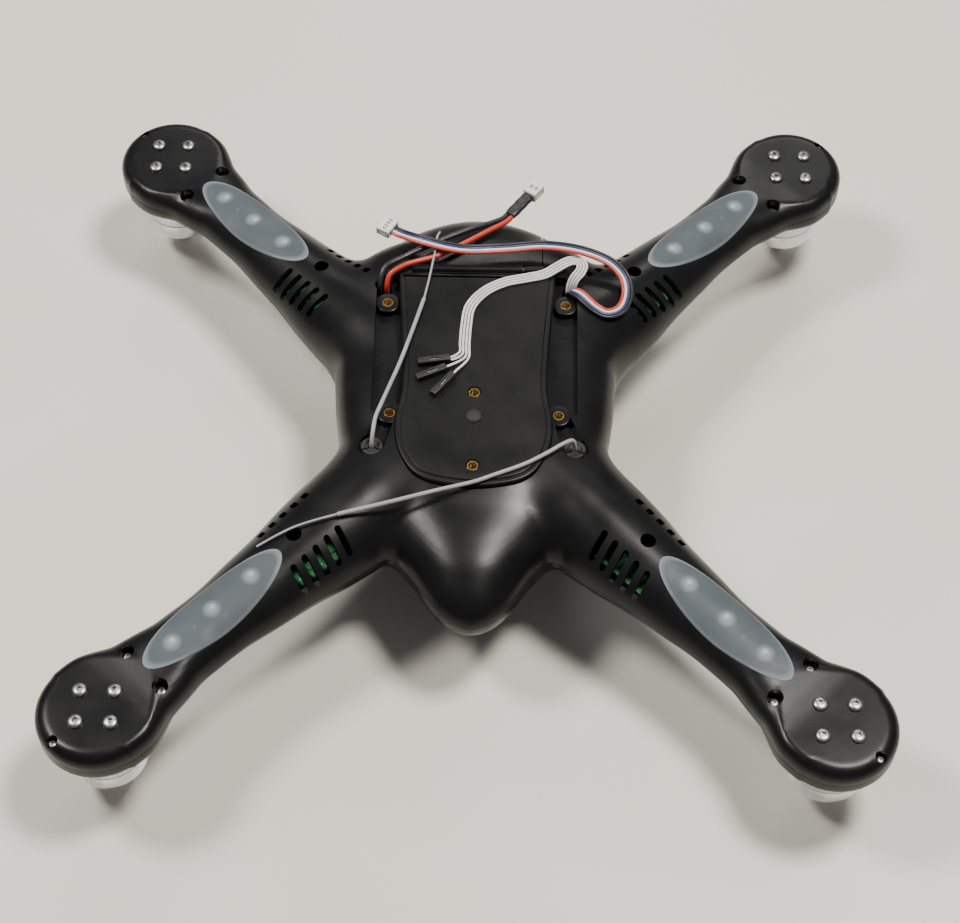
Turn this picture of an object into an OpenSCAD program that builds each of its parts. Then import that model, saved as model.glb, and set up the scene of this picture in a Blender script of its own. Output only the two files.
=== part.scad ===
// Quadcopter airframe for a camera drone, lying belly up with its propellers and landing gear off.
// Millimetres. +Z is up, out of the belly. The nose points to -Y and the battery door is at +Y.
// With the belly up, the aircraft's left side is at -X. It stands on its four bare propeller shafts.

/* [Airframe] */
// Distance between neighbouring motor centres, along X and along Y
motor_spacing = 260; // [210:1:320]
// Width of the body at its widest
body_w = 110; // [90:1:136]
// Height of the body, from the canopy's crown to the belly deck
body_h = 58; // [48:1:62]
// Length of the nose, from the centre of the airframe
nose_length = 92; // [80:1:112]
// Length of the tail, from the centre of the airframe
tail_length = 96.5; // [84:1:116]
// Wall thickness of the two moulded shells
wall = 2.2; // [1.6:0.1:2.8]
// Rise of the belly deck above the flat tops of the motor pods
belly_rise = 14; // [12:0.5:18]

/* [Motor pods] */
// Radius of the round pod at the end of each arm
pod_r = 21.8; // [20:0.1:26]
// Height of a pod
pod_h = 14; // [12:0.5:18]
// Drop from a pod's flat top to the seam between the shells
seam_drop = 7.5; // [6:0.5:9]
// Side of the square of motor screws
screw_square = 12.3; // [11:0.1:14]
// Distance from the motor's centre to the rim screw
rim_screw_offset = 19; // [18:0.1:24]
// Distance from the motor's centre to the pair of shell screws, along the arm
neck_screw_offset = 21.4; // [20:0.1:26]
// Distance between the two shell screws of a pair
neck_screw_spacing = 19; // [16:0.5:20]

/* [Arms] */
// Width of an arm at its narrowest
neck_w = 27.2; // [24:0.2:34]
// Length of a light lens
lens_length = 64; // [50:1:70]
// Width of a light lens
lens_w = 19.6; // [15:0.2:21]
// Distance from the motor's centre to the middle of the lens
lens_offset = 54; // [50:1:62]
// Thickness of a lens
lens_t = 1.6; // [1.2:0.1:2.4]
// Number of long vents on one flank of each arm, and of square vents on the other
vent_count = 5; // [3:1:6]
// Distance from the motor's centre to the first vent
vent_start = 87; // [84:1:95]
// Distance between neighbouring vents
vent_pitch = 5.4; // [4.6:0.1:6.5]
// Distance from the motor's centre to the arm's own shell screw
arm_screw_offset = 94; // [90:1:100]

/* [Motors] */
// Radius of a motor's rotating bell
bell_r = 14.4; // [11.5:0.1:17]
// Height of the bell
bell_h = 21; // [14:0.5:24]
// Radius of the propeller shaft
shaft_r = 2.5; // [2:0.1:3.2]
// Length of bare shaft below the bell
shaft_out = 12; // [8:0.5:20]
// Thickness of the motor's mounting base
base_h = 2.6; // [2.4:0.1:4]
// Gap between the bell's rim and the base
bell_gap = 0.4; // [0.3:0.1:1]

/* [Belly] */
// Distance between the two rear threaded inserts
rear_insert_spacing = 70; // [66:0.5:74]
// Distance between the two front threaded inserts
front_insert_spacing = 64; // [62:0.5:70]
// Place of the rear inserts along the body
rear_insert_y = 44.5; // [40:0.5:48]
// Place of the front inserts along the body
front_insert_y = -9; // [-12:0.5:-4]
// Distance between the two inserts on the centre line
centre_insert_spacing = 33.5; // [28:0.5:36]
// Place of the front one of the centre inserts
centre_insert_y = -35; // [-37:0.5:-32]
// Bore of every insert, for an M3 screw
insert_bore = 3; // [2.5:0.1:3.5]
// Outer diameter of every insert
insert_d = 4.6; // [4.2:0.1:5.2]
// Distance between the two antenna grommets
grommet_spacing = 76; // [72:0.5:82]
// Place of the grommets along the body
grommet_y = -24; // [-26:0.5:-20]
// Depth of the channels beside the belly plate
channel_depth = 6; // [4:0.5:7]
// Thickness of the belly plate
plate_t = 2.8; // [2.4:0.1:3.6]
// Height of the belly plate above the deck
plate_proud = 1; // [0.4:0.1:2]

/* [Battery door] */
// Width of the battery door
door_w = 51.2; // [46:0.2:56]
// Place of the hinge pin along the body
hinge_y = 60.2; // [59.5:0.1:63]
// Depth of the hinge pin below the deck
hinge_drop = 1; // [0.8:0.1:1.6]
// Radius of the hinge pin
hinge_pin_r = 1; // [0.8:0.1:1.2]
// Gap between the door and the shell around it
door_gap = 0.4; // [0.3:0.1:0.8]
// Height of the door, down the tail
door_drop = 34; // [28:1:38]

/* [Battery] */
// Width of the battery pack
battery_w = 43; // [36:1:44]
// Height of the battery pack
battery_h = 26; // [20:1:27]
// Length of the battery pack
battery_length = 100; // [80:1:118]

/* [Hidden] */
$fn = 48;

// Heights, counted up from the tips of the propeller shafts.
bell_z = shaft_out;
pod_bottom_z = bell_z + bell_h + bell_gap + base_h;
pod_top_z = pod_bottom_z + pod_h;
seam_z = pod_top_z - seam_drop;
belly_z = pod_top_z + belly_rise;
canopy_z = belly_z - body_h;
deck_t = wall + 2;
deck_under_z = belly_z - deck_t;
plate_z = belly_z + plate_proud - plate_t;
plate_top_z = belly_z + plate_proud;
channel_z = belly_z - channel_depth;

// The arm runs from the motor's centre to the middle of the airframe.
arm_length = motor_spacing / sqrt(2);
// Past the neck the arm's stations keep their share of the way to the middle.
neck_s = 38;
arm_stretch = (arm_length - neck_s) / (183.85 - neck_s);
neck_scale = neck_w / 27.2;
pod_scale = pod_r / 21.8;
body_scale = body_w / 110;
body_depth_scale = (seam_z - canopy_z) / 36.5;

// Each arm station: distance from the motor, half width, rise of its top above the pod's top,
// and depth of its underside below the pod's top.
arm_stations = [
    [8, 20 * pod_scale, 0, pod_h],
    [14, 18.8 * pod_scale, 0, pod_h],
    [20, 16.4 * (pod_scale + neck_scale) / 2, 1.6, pod_h],
    [28, 14.5 * neck_scale, 2.4, pod_h],
    [38, 13.6 * neck_scale, 3.2, pod_h],
    [54, 14.3 * neck_scale, 4.4, 15.5],
    [70, 15.9 * neck_scale, 5.8, 17],
    [86, 17.6 * neck_scale, 7.6, 19],
    [102, 20.3 * neck_scale, 9.6, 21.5],
    [116, 21.8 * neck_scale, 11.2, 24],
    [130, 22.5 * neck_scale, 12.4, 27],
    [150, 22 * neck_scale, 12.6, 32]
];

// Each body station: place along Y, half width, drop of its top below the deck,
// rise of its underside above the canopy's crown, and how square its upper edge is.
body_stations = [
    [-92, 2, 20, 33, 2],
    [-90, 7, 16.5, 28.5, 2],
    [-86, 12, 13, 24, 2],
    [-80, 16.6, 10, 19.5, 2],
    [-72, 21.5, 7, 15.5, 2.1],
    [-62, 29, 4.8, 11.5, 2.2],
    [-50, 38, 3, 8, 2.4],
    [-38, 44.5, 0.6, 5, 2.8],
    [-18, 50.5, -0.8, 2, 3.2],
    [5, 54, -0.8, 0.3, 3.4],
    [23, 55, -0.8, 0, 3.4],
    [45, 54.5, -0.8, 1, 3.4],
    [60, 53, -0.2, 3, 3.2],
    [70, 50, 0.8, 6, 3],
    [76, 44.5, 1.8, 9, 2.8],
    [80, 38, 2.8, 12, 2.6],
    [86, 30.5, 4.8, 17, 2.5],
    [91, 22, 7.8, 22, 2.4],
    [94.5, 13, 11.5, 27, 2.3],
    [96.5, 3, 18, 33, 2]
];

// The hollow needs fewer stations.
arm_hollow_stations = [for (i = [0, 1, 3, 5, 7, 9, 11]) arm_stations[i]];

arm_bulge_top = 1.9;
arm_bulge_under = 2.2;
body_bulge_under = 2.2;
body_points = 28;
arm_points = 18;
body_hollow_points = 20;
arm_hollow_points = 12;
pod_sides = 24;
boss_sides = 8;
lens_sides = 24;
vent_sides = 6;

motor_screw_r = 1.5;
motor_screw_head_r = 2.8;
motor_screw_head_h = 1.6;
shell_screw_r = 1.1;
shell_screw_head_r = 2.1;
shell_screw_head_h = 1.4;
shell_screw_hole_r = 2.9;
rim_screw_hole_r = 2.1;
rim_screw_head_r = 1.7;
rim_screw_drop = 2.4;
rim_boss_r = 2.7;
stator_clearance = 0.5;
shaft_step = 0.5;
bearing_clearance = 0.1;
motor_shaft_r = shaft_r - shaft_step;
bell_wall = 0.9;

plate_outline = [
    [0, -44.8], [-21.5, -40.5], [-28.8, -27], [-30, -14], [-27.2, 0], [-28.2, 20], [-31, 57.2],
    [31, 57.2], [28.2, 20], [27.2, 0], [30, -14], [28.8, -27], [21.5, -40.5]
];
plate_corner_r = 4;

hinge_z = belly_z - hinge_drop;
hinge_sides = 32;
knuckle_r = hinge_pin_r + 0.8;
door_knuckle_half = 18;
door_bottom_z = belly_z - door_drop;
shell_cut_half = door_w / 2 + door_gap;

tray_t = 1.5;
channel_rear_y = 57;
channel_inner_x = battery_w / 2 + 0.5 + tray_t + wall + 0.3;
channel_outer_x = rear_insert_spacing / 2 + 4.5;
lead_hole_r = 3.4;
lead_hole = [rear_insert_spacing / 2 + 2, 52.5];
boss_r = insert_d / 2 + 2.4;
insert_length = 6;
grommet_r = 4.2;
grommet_h = 2.6;
grommet_bore_r = 0.9;

board_t = 1.6;
tray_z = deck_under_z - battery_h - 4.2;
tray_front_y = -47 * nose_length / 92;
tray_rear_y = 57;
flight_board_z = canopy_z + wall + 0.6 * (tray_z - canopy_z - wall);
gps_half_w = 14;
gps_front_y = -43;
receiver_half_w = 12;
receiver_rear_y = 56;
led_board_z = pod_top_z - 4;
esc_z = seam_z + 1.5;

coax_d = 1.6;
antenna_wire_d = 0.9;
power_lead_d = 2.2;
signal_lead_d = 0.95;
ribbon_w = 4.8;
ribbon_t = 1.2;
cord_sides = 8;

// Cord routes, chosen by hand. Each starts in the hole it comes out of.
antenna_left_coax_route = [
    [-38, -24, 57], [-38, -24, 61.4], [-37.6, -21.5, 64.8], [-36.8, -15, 66.2], [-34.8, -8.5, 66.5],
    [-32.4, -1, 66.5], [-29, 10, 66.2], [-24.5, 27, 66], [-20.5, 43, 66]
];
antenna_left_wire_route = [
    [-20.5, 43, 66], [-19, 52, 66.2], [-17.5, 61, 67.8], [-16.8, 66.5, 67.6], [-16.4, 73, 67.2], [-15.5, 79, 63.6]
];
antenna_right_coax_route = [
    [38, -24, 57], [38, -24, 62.4], [37, -23.8, 65.8], [33.5, -26, 66.8], [27, -30.5, 66.6],
    [19, -35, 66], [9, -39.5, 66], [1, -43, 66], [-13, -47, 65.6], [-30, -51.5, 64.2], [-49, -56, 62.2]
];
antenna_right_wire_route = [
    [-49, -56, 62.2], [-56, -58, 61.6], [-64, -60.5, 60.4], [-71, -63.5, 58.6], [-78, -67, 56.4]
];
power_red_route = [
    [-35.7, 52.5, 57], [-35.7, 52.9, 61], [-34.5, 55.5, 64.6], [-29, 59, 66.4], [-17, 64, 66.2],
    [-7.5, 70.5, 65.4], [2.5, 79, 63.6], [11.5, 87.2, 61.6], [13.2, 89.6, 61.4]
];
power_black_route = [
    [-38.4, 52.5, 57], [-38.4, 53.5, 61.6], [-36.6, 58.5, 65.2], [-29, 63.5, 66.4], [-15, 73, 65.4],
    [-3, 80.4, 64.2], [4.6, 85, 62.6], [9.7, 88.6, 61.6], [11.4, 91, 61.4]
];
ribbon_route = [
    [37, 51.6, 57], [37.1, 51.2, 60.8], [38, 49.8, 63.2], [40.4, 47.4, 64.4], [43.5, 43.8, 64.5],
    [46.6, 41, 63.9], [51, 39.4, 62.8], [56.2, 42, 62.2], [59, 48.5, 62.6], [58.4, 56, 64],
    [53, 62.4, 66], [42, 66.6, 68], [27, 69, 68.2], [10, 67, 68.4], [-7, 65.4, 69.6], [-24, 71, 68.6],
    [-31.4, 75.8, 66.4], [-33.9, 77.3, 66.4]
];
signal_route = [
    [37.2, 53.9, 57], [37.3, 54.6, 60.4], [38.4, 56, 63.6], [40.6, 58.2, 65.2], [41.4, 61, 65.8],
    [39.6, 63.4, 65.8], [36, 63, 65.8], [31, 59.6, 65.7], [26.5, 56.4, 65.6], [19, 54.2, 65.6],
    [11, 52, 65.6], [3, 47, 65.6], [-2.4, 39.4, 65.6], [-3.8, 30, 65.6], [-4.2, 21, 65.6]
];
// Where each signal lead ends: its last three points.
signal_ends = [
    [[-6, 17, 65.6], [-8.5, 14.4, 66], [-9.6, 14, 66.2]],
    [[-5, 15.8, 65.6], [-8.2, 13.1, 66], [-9.4, 12.8, 66.2]],
    [[-3.9, 14.6, 65.6], [-10, 9.8, 66.2], [-10.8, 9.4, 66.2]],
    [[-2.6, 14, 65.6], [-7.4, 7.2, 66.2], [-8, 6.3, 66.2]]
];
signal_spread = 1.2;

// Each signal plug: middle of the end where its leads enter, then its heading in degrees.
signal_plugs_at = [
    [[-9.6, 13.4, 65.05], 190],
    [[-10.9, 9.2, 65.05], 206],
    [[-8.2, 6, 65.05], 232]
];
signal_plug_size = [12.5, 2.8, 2.5];
power_sleeve_from = [12.5, 90.5, 61.4];
power_sleeve_to = [20.1, 101.1, 61.4];
ribbon_plug_at = [-34, 77.4, 66.4];
ribbon_plug_heading = 149;
power_plug_heading = 54.4;

black_shell = [0.07, 0.07, 0.08];
black_rubber = [0.05, 0.05, 0.05];
belly_black = [0.09, 0.09, 0.1];
brass = [0.72, 0.58, 0.3];
steel = [0.7, 0.7, 0.72];
aluminium = [0.82, 0.82, 0.86];
frosted = [0.55, 0.6, 0.65];
board_green = [0.1, 0.35, 0.16];
copper = [0.6, 0.33, 0.15];
white_plastic = [0.9, 0.9, 0.87];
coax_grey = [0.72, 0.72, 0.74];
red_lead = [0.75, 0.15, 0.1];
black_lead = [0.08, 0.08, 0.09];
ribbon_navy = [0.15, 0.16, 0.3];
battery_grey = [0.25, 0.26, 0.3];

// ---- Places ----

LEFT = -1;
RIGHT = 1;
FRONT = -1;
REAR = 1;
SIDES = [LEFT, RIGHT];
ENDS = [FRONT, REAR];

// An arm's own frame: X runs from the motor to the middle, Y across the arm towards the tail.
module at_arm(side, end) {
    $end = end;
    mirror([side > 0 ? 1 : 0, 0, 0])
        translate([-motor_spacing / 2, end * motor_spacing / 2, 0])
            rotate(-45 * end)
                children();
}

module at_every_arm() {
    for (side = SIDES, end = ENDS)
        at_arm(side, end)
            children();
}

module at_motor(side, end) {
    translate([side * motor_spacing / 2, end * motor_spacing / 2, 0])
        children();
}

module at_every_motor() {
    for (side = SIDES, end = ENDS)
        at_motor(side, end)
            children();
}

module at_motor_screws() {
    for (x = SIDES, y = ENDS)
        translate([x * screw_square / 2, y * screw_square / 2, 0])
            children();
}

// The three shell screws of an arm, in the arm's frame.
neck_screws = [for (side = SIDES) [neck_screw_offset, side * neck_screw_spacing / 2]];
arm_screw = [arm_screw_offset, 1.5];
shell_screws_at = concat(neck_screws, [arm_screw]);

// ---- Lofted forms ----

function arm_x(s) = s <= neck_s ? s : neck_s + (s - neck_s) * arm_stretch;
function body_y(y) = y < 0 ? y * nose_length / 92 : y * tail_length / 96.5;

arm_tops = [for (row = arm_stations) [arm_x(row[0]), pod_top_z + row[2]]];
arm_bottoms = [for (row = arm_stations) [arm_x(row[0]), pod_top_z - row[3]]];
arm_widths = [for (row = arm_stations) [arm_x(row[0]), row[1]]];
body_bottoms = [for (row = body_stations) [body_y(row[0]), canopy_z + row[3] * body_depth_scale]];
body_widths = [for (row = body_stations) [body_y(row[0]), row[1] * body_scale]];

// How far a bulging section stands out at a share of its half width, from 1 in the middle to 0.
function bulge(share, n) = pow(max(0, 1 - pow(abs(share), n)), 1 / n);

function signed_power(v, p) = sign(v) * pow(abs(v), p);

// One ring of a loft, at place x, with its widest level on the seam.
function ring(x, half_w, top_z, bottom_z, top_n, bottom_n, points, flat_z) = [
    for (i = [0:points - 1])
        let (a = 360 * i / points)
        let (n = sin(a) > 0 ? top_n : bottom_n)
        let (height = sin(a) > 0 ? top_z - seam_z : seam_z - bottom_z)
        [x, half_w * signed_power(cos(a), 2 / n), min(flat_z, seam_z + height * signed_power(sin(a), 2 / n))]
];

// A closed solid through rings that all have the same number of points.
module loft(rings) {
    n = len(rings[0]);
    last = len(rings) - 1;
    sides = [
        for (j = [0:last - 1], i = [0:n - 1])
            let (a = j * n + i)
            let (b = j * n + (i + 1) % n)
            each [[a, a + n, b + n], [a, b + n, b]]
    ];
    start_cap = [for (i = [0:n - 1]) i];
    end_cap = [for (i = [0:n - 1]) last * n + n - 1 - i];
    polyhedron(points = [for (r = rings) each r], faces = concat([start_cap], sides, [end_cap]));
}

// The arm, shrunk inwards on every side by skin.
module arm_form(skin, points, stations = arm_stations) {
    loft([
        for (row = stations)
            ring(
                arm_x(row[0]), row[1] - skin, pod_top_z + row[2] - skin, pod_top_z - row[3] + skin,
                arm_bulge_top, arm_bulge_under, points, belly_z - skin
            )
    ]);
}

module pod_form() {
    edge = 5;
    foot = 3;
    top_arc = [for (a = [0:30:90]) [pod_r - edge + edge * cos(a), pod_top_z - edge + edge * sin(a)]];
    foot_arc = [for (a = [-90:45:0]) [pod_r - foot + foot * cos(a), pod_bottom_z + foot + foot * sin(a)]];
    rotate_extrude($fn = pod_sides)
        polygon(concat([[0, pod_bottom_z]], foot_arc, top_arc, [[0, pod_top_z]]));
}

module pod_hollow() {
    translate([0, 0, pod_bottom_z + wall])
        cylinder(r = pod_r - wall - 0.4, h = pod_h - 2 * wall, $fn = pod_sides);
}

module body_form(skin, top_skin, points) {
    rotate(90)
        loft([
            for (row = body_stations)
                if (row[1] * body_scale > skin)
                    ring(
                        body_y(row[0]) * (1 - skin / nose_length), row[1] * body_scale - skin,
                        belly_z - row[2] - skin, canopy_z + row[3] * body_depth_scale + skin,
                        row[4], body_bulge_under, points, belly_z - top_skin
                    )
        ]);
}

module outer_form() {
    body_form(0, 0, body_points);
    at_every_arm() {
        arm_form(0, arm_points);
        pod_form();
    }
}

module hollow_form() {
    body_form(wall, deck_t, body_hollow_points);
    at_every_arm() {
        arm_form(wall, arm_hollow_points, arm_hollow_stations);
        pod_hollow();
    }
}

// Height of the arm's top surface in the arm's frame.
function arm_surface(x, y) =
    seam_z + (lookup(x, arm_tops) - seam_z) * bulge(y / lookup(x, arm_widths), arm_bulge_top);

// Height of the arm's underside in the arm's frame.
function arm_underside(x, y) =
    seam_z - (seam_z - lookup(x, arm_bottoms)) * bulge(y / lookup(x, arm_widths), arm_bulge_under);

// Height of the canopy's outer surface.
function canopy_surface(x, y) =
    seam_z - (seam_z - lookup(y, body_bottoms)) * bulge(x / lookup(y, body_widths), body_bulge_under);

// Height of the lowest outer surface under a point of an arm: the arm's own, or the canopy's where it runs in.
function shell_floor(x, y, end) =
    let (canopy_x = motor_spacing / 2 - (x + end * y) / sqrt(2))
    let (canopy_y = end * motor_spacing / 2 + (y - end * x) / sqrt(2))
    min(arm_underside(x, abs(y)), canopy_surface(canopy_x, canopy_y));

gps_z = canopy_surface(gps_half_w, gps_front_y) + wall + 0.6;
receiver_z = canopy_surface(receiver_half_w, receiver_rear_y) + wall + 3.6;

// ---- Shared cutters and bosses of the two shells ----

module lens_outline(inset) {
    translate([lens_offset, 0])
        scale([lens_length / 2 - inset, lens_w / 2 - inset])
            circle(r = 1, $fn = lens_sides);
}

module long_vents() {
    for (i = [0:vent_count - 1])
        hull()
            for (y = [-8, -15.5])
                translate([vent_start + i * vent_pitch + y / 5, y, seam_z + 6])
                    cylinder(r = 1.3, h = belly_rise + 12, $fn = vent_sides);
}

module square_vents() {
    for (i = [0:vent_count - 1])
        translate([vent_start + i * vent_pitch - 1.4, 11, seam_z + 8])
            cube([2.8, 2.8, belly_rise + 12]);
}

// A hole whose flats just touch the round piece of radius r that goes through it.
module hole(r, h) {
    cylinder(r = r / cos(180 / boss_sides), h = h, $fn = boss_sides);
}

module post(x, y, r, z0, z1) {
    translate([x, y, z0])
        cylinder(r = r, h = z1 - z0, $fn = boss_sides);
}

// Bosses that take the shell screws: one set above the seam and one below it.
module bosses_above_seam() {
    r = shell_screw_hole_r + 1.2;
    for (p = shell_screws_at)
        post(p[0], p[1], r, seam_z, arm_surface(p[0], abs(p[1]) + r) - 0.2);
    post(-rim_screw_offset, 0, rim_boss_r, seam_z, pod_top_z - 2);
}

module bosses_below_seam() {
    r = shell_screw_r + 1.8;
    for (p = shell_screws_at)
        post(p[0], p[1], r, shell_floor(p[0], p[1] + sign(p[1]) * r, $end) + 0.2, seam_z);
    post(-rim_screw_offset, 0, rim_boss_r, pod_bottom_z + 1.5, seam_z);
}

module motor_pillars(z0, z1) {
    at_motor_screws()
        post(0, 0, motor_screw_r + 1.6, z0, z1);
}

module motor_screw_holes() {
    at_motor_screws()
        translate([0, 0, pod_bottom_z - 1])
            hole(motor_screw_r, pod_h + 2);
}

shell_screw_seat_z = seam_z + 3;
rim_screw_seat_z = pod_top_z - rim_screw_drop - shell_screw_head_h;

module shell_screw_holes() {
    for (p = shell_screws_at)
        translate([p[0], p[1], 0]) {
            translate([0, 0, shell_screw_seat_z])
                hole(shell_screw_hole_r, belly_z);
            translate([0, 0, shell_screw_seat_z - 8.5])
                hole(shell_screw_r, 9);
        }
    translate([-rim_screw_offset, 0, 0]) {
        translate([0, 0, rim_screw_seat_z])
            hole(rim_screw_hole_r, belly_z);
        translate([0, 0, rim_screw_seat_z - 8.5])
            hole(shell_screw_r, 9);
    }
}

module above_seam() {
    translate([-motor_spacing, -motor_spacing, seam_z])
        cube([2 * motor_spacing, 2 * motor_spacing, belly_z]);
}

module below_seam() {
    translate([-motor_spacing, -motor_spacing, seam_z - 2 * body_h])
        cube([2 * motor_spacing, 2 * motor_spacing, 2 * body_h]);
}

// The opening that the battery door closes.
module door_opening(gap) {
    half = door_w / 2 + gap;
    translate([-half, hinge_y - knuckle_r - gap, door_bottom_z - gap])
        cube([2 * half, tail_length, belly_z]);
}

// ---- Shells ----

module channel_outline(grow) {
    for (side = SIDES)
        scale([side, 1])
            offset(delta = grow)
                union() {
                    polygon([
                        [channel_inner_x, channel_rear_y], [channel_outer_x, channel_rear_y],
                        [channel_outer_x - 0.4, front_insert_y], [channel_inner_x, front_insert_y - 4]
                    ]);
                    hull() {
                        translate([front_insert_spacing / 2, front_insert_y])
                            circle(r = boss_r, $fn = 20);
                        translate([grommet_spacing / 2, grommet_y])
                            circle(r = grommet_r + 1, $fn = 20);
                    }
                }
}

module channel_troughs() {
    intersection() {
        outer_form();
        translate([0, 0, channel_z - wall])
            linear_extrude(channel_depth)
                channel_outline(wall);
    }
}

module insert_bosses() {
    for (side = SIDES) {
        translate([side * rear_insert_spacing / 2, rear_insert_y, channel_z - wall])
            cylinder(r = boss_r, h = wall + 3, $fn = 20);
        translate([side * front_insert_spacing / 2, front_insert_y, channel_z - wall])
            cylinder(r = boss_r, h = wall + 3, $fn = 20);
    }
}

insert_top_z = channel_z + 3;

module insert_holes() {
    for (side = SIDES) {
        translate([side * rear_insert_spacing / 2, rear_insert_y, channel_z - 10])
            hole(insert_d / 2, 20);
        translate([side * front_insert_spacing / 2, front_insert_y, channel_z - 10])
            hole(insert_d / 2, 20);
        translate([side * grommet_spacing / 2, grommet_y, channel_z - 10])
            hole(grommet_r - 1.2, 20);
        translate([side * lead_hole[0], lead_hole[1], channel_z - 10])
            hole(lead_hole_r, 20);
    }
    for (y = [0, centre_insert_spacing])
        translate([0, centre_insert_y + y, deck_under_z - 5])
            hole(insert_d / 2, 20);
}

module plate_shape(grow) {
    offset(r = plate_corner_r + grow, $fn = 24)
        offset(delta = -plate_corner_r)
            polygon(plate_outline);
}

module shell_knuckles() {
    for (side = SIDES)
        translate([side * (door_knuckle_half + 0.4 + shell_cut_half) / 2, 0, 0]) {
            length = shell_cut_half - door_knuckle_half - 0.4 + 0.2;
            translate([-length / 2, hinge_y, hinge_z])
                rotate([0, 90, 0])
                    cylinder(r = knuckle_r, h = length, $fn = 32);
            translate([-length / 2, hinge_y - knuckle_r - door_gap - 1, hinge_z - knuckle_r])
                cube([length, knuckle_r + door_gap + 1, knuckle_r]);
        }
}

module hinge_bore(r) {
    translate([-door_w, hinge_y, hinge_z])
        rotate([0, 90, 0])
            cylinder(r = r, h = 2 * door_w, $fn = hinge_sides);
}

module card_slot() {
    translate([body_w / 2 - 8, 2, seam_z - 3])
        cube([20, 11, 1.6]);
}

module lower_shell() {
    color(black_shell)
        difference() {
            union() {
                difference() {
                    intersection() {
                        outer_form();
                        above_seam();
                    }
                    hollow_form();
                    door_opening(door_gap);
                }
                channel_troughs();
                at_every_arm()
                    bosses_above_seam();
                at_every_motor()
                    motor_pillars(seam_z, pod_top_z - 1);
                shell_knuckles();
            }
            translate([0, 0, channel_z])
                linear_extrude(channel_depth + 5)
                    difference() {
                        channel_outline(0);
                        plate_shape(0);
                    }
            translate([0, 0, plate_z])
                linear_extrude(10)
                    plate_shape(0.15);
            insert_holes();
            at_every_arm() {
                translate([0, 0, seam_z + 5])
                    linear_extrude(belly_z)
                        lens_outline(0);
                long_vents();
                square_vents();
                shell_screw_holes();
            }
            at_every_motor()
                motor_screw_holes();
            hinge_bore(hinge_pin_r / cos(180 / hinge_sides));
        }
    color(black_shell)
        difference() {
            insert_bosses();
            insert_holes();
        }
}

// Four posts under a board, each rooted in the canopy's wall.
module board_posts(half, y0, y1, top_z) {
    for (side = SIDES, y = [y0, y1])
        post(side * half, y, 2, canopy_surface(half + 2, y < 0 ? y - 2 : y + 2) + 0.4, top_z);
}

// A rib across each arm under its boards: one for the light strip and one for the speed controller.
module arm_ribs() {
    for (rib = [[lens_offset - 16, 5, led_board_z], [lens_offset + 16, 5, led_board_z],
                [vent_start - 1, 9, esc_z], [vent_start + 18, 9, esc_z]])
        hull()
            for (side = SIDES)
                post(rib[0], side * rib[1], 1, shell_floor(rib[0] - 1, side * (rib[1] + 1), $end) + 0.4, rib[2]);
}

module upper_shell() {
    color(black_shell)
        difference() {
            union() {
                difference() {
                    intersection() {
                        outer_form();
                        below_seam();
                    }
                    hollow_form();
                    door_opening(door_gap);
                }
                board_posts(24, -13, 23, flight_board_z);
                board_posts(gps_half_w - 4, gps_front_y + 4, gps_front_y + 20, gps_z);
                board_posts(receiver_half_w - 3, receiver_rear_y - 23, receiver_rear_y - 3, receiver_z);
                at_every_arm() {
                    bosses_below_seam();
                    arm_ribs();
                }
                at_every_motor()
                    motor_pillars(pod_bottom_z + 1, seam_z);
            }
            at_every_arm()
                shell_screw_holes();
            at_every_motor() {
                motor_screw_holes();
                translate([0, 0, pod_bottom_z - 1])
                    hole(shaft_r + 2.5, wall + 2);
            }
            card_slot();
        }
}

// ---- Belly ----

module belly_plate() {
    color(belly_black)
        difference() {
            translate([0, 0, plate_z])
                linear_extrude(plate_t)
                    plate_shape(0);
            for (y = [0, centre_insert_spacing])
                translate([0, centre_insert_y + y, plate_z - 1])
                    cylinder(r = insert_d / 2, h = plate_t + 2);
        }
}

module insert(length) {
    difference() {
        cylinder(r = insert_d / 2, h = length);
        translate([0, 0, -1])
            cylinder(r = insert_bore / 2, h = length + 2);
    }
}

module corner_inserts() {
    color(brass)
        for (side = SIDES) {
            translate([side * rear_insert_spacing / 2, rear_insert_y, insert_top_z - insert_length])
                insert(insert_length);
            translate([side * front_insert_spacing / 2, front_insert_y, insert_top_z - insert_length])
                insert(insert_length);
        }
}

module centre_inserts() {
    color(brass)
        for (y = [0, centre_insert_spacing])
            translate([0, centre_insert_y + y, deck_under_z])
                insert(plate_top_z - deck_under_z - 0.3);
}

// A low rubber stop between the two centre inserts.
module centre_bump() {
    bump_r = 3.2;
    bump_h = 1.1;
    cap_r = (bump_r * bump_r + bump_h * bump_h) / (2 * bump_h);
    color(black_rubber)
        translate([0, centre_insert_y + centre_insert_spacing * 2 / 3, plate_top_z])
            intersection() {
                translate([0, 0, bump_h - cap_r])
                    sphere(r = cap_r);
                cylinder(r = bump_r, h = bump_h);
            }
}

module antenna_grommet(side) {
    color(black_rubber)
        translate([side * grommet_spacing / 2, grommet_y, channel_z])
            difference() {
                union() {
                    cylinder(r = grommet_r, h = grommet_h);
                    translate([0, 0, -wall])
                        cylinder(r = grommet_r - 1.2, h = wall);
                }
                translate([0, 0, -wall - 1])
                    cylinder(r = grommet_bore_r, h = grommet_h + wall + 2);
            }
}

// ---- Battery door ----

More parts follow.
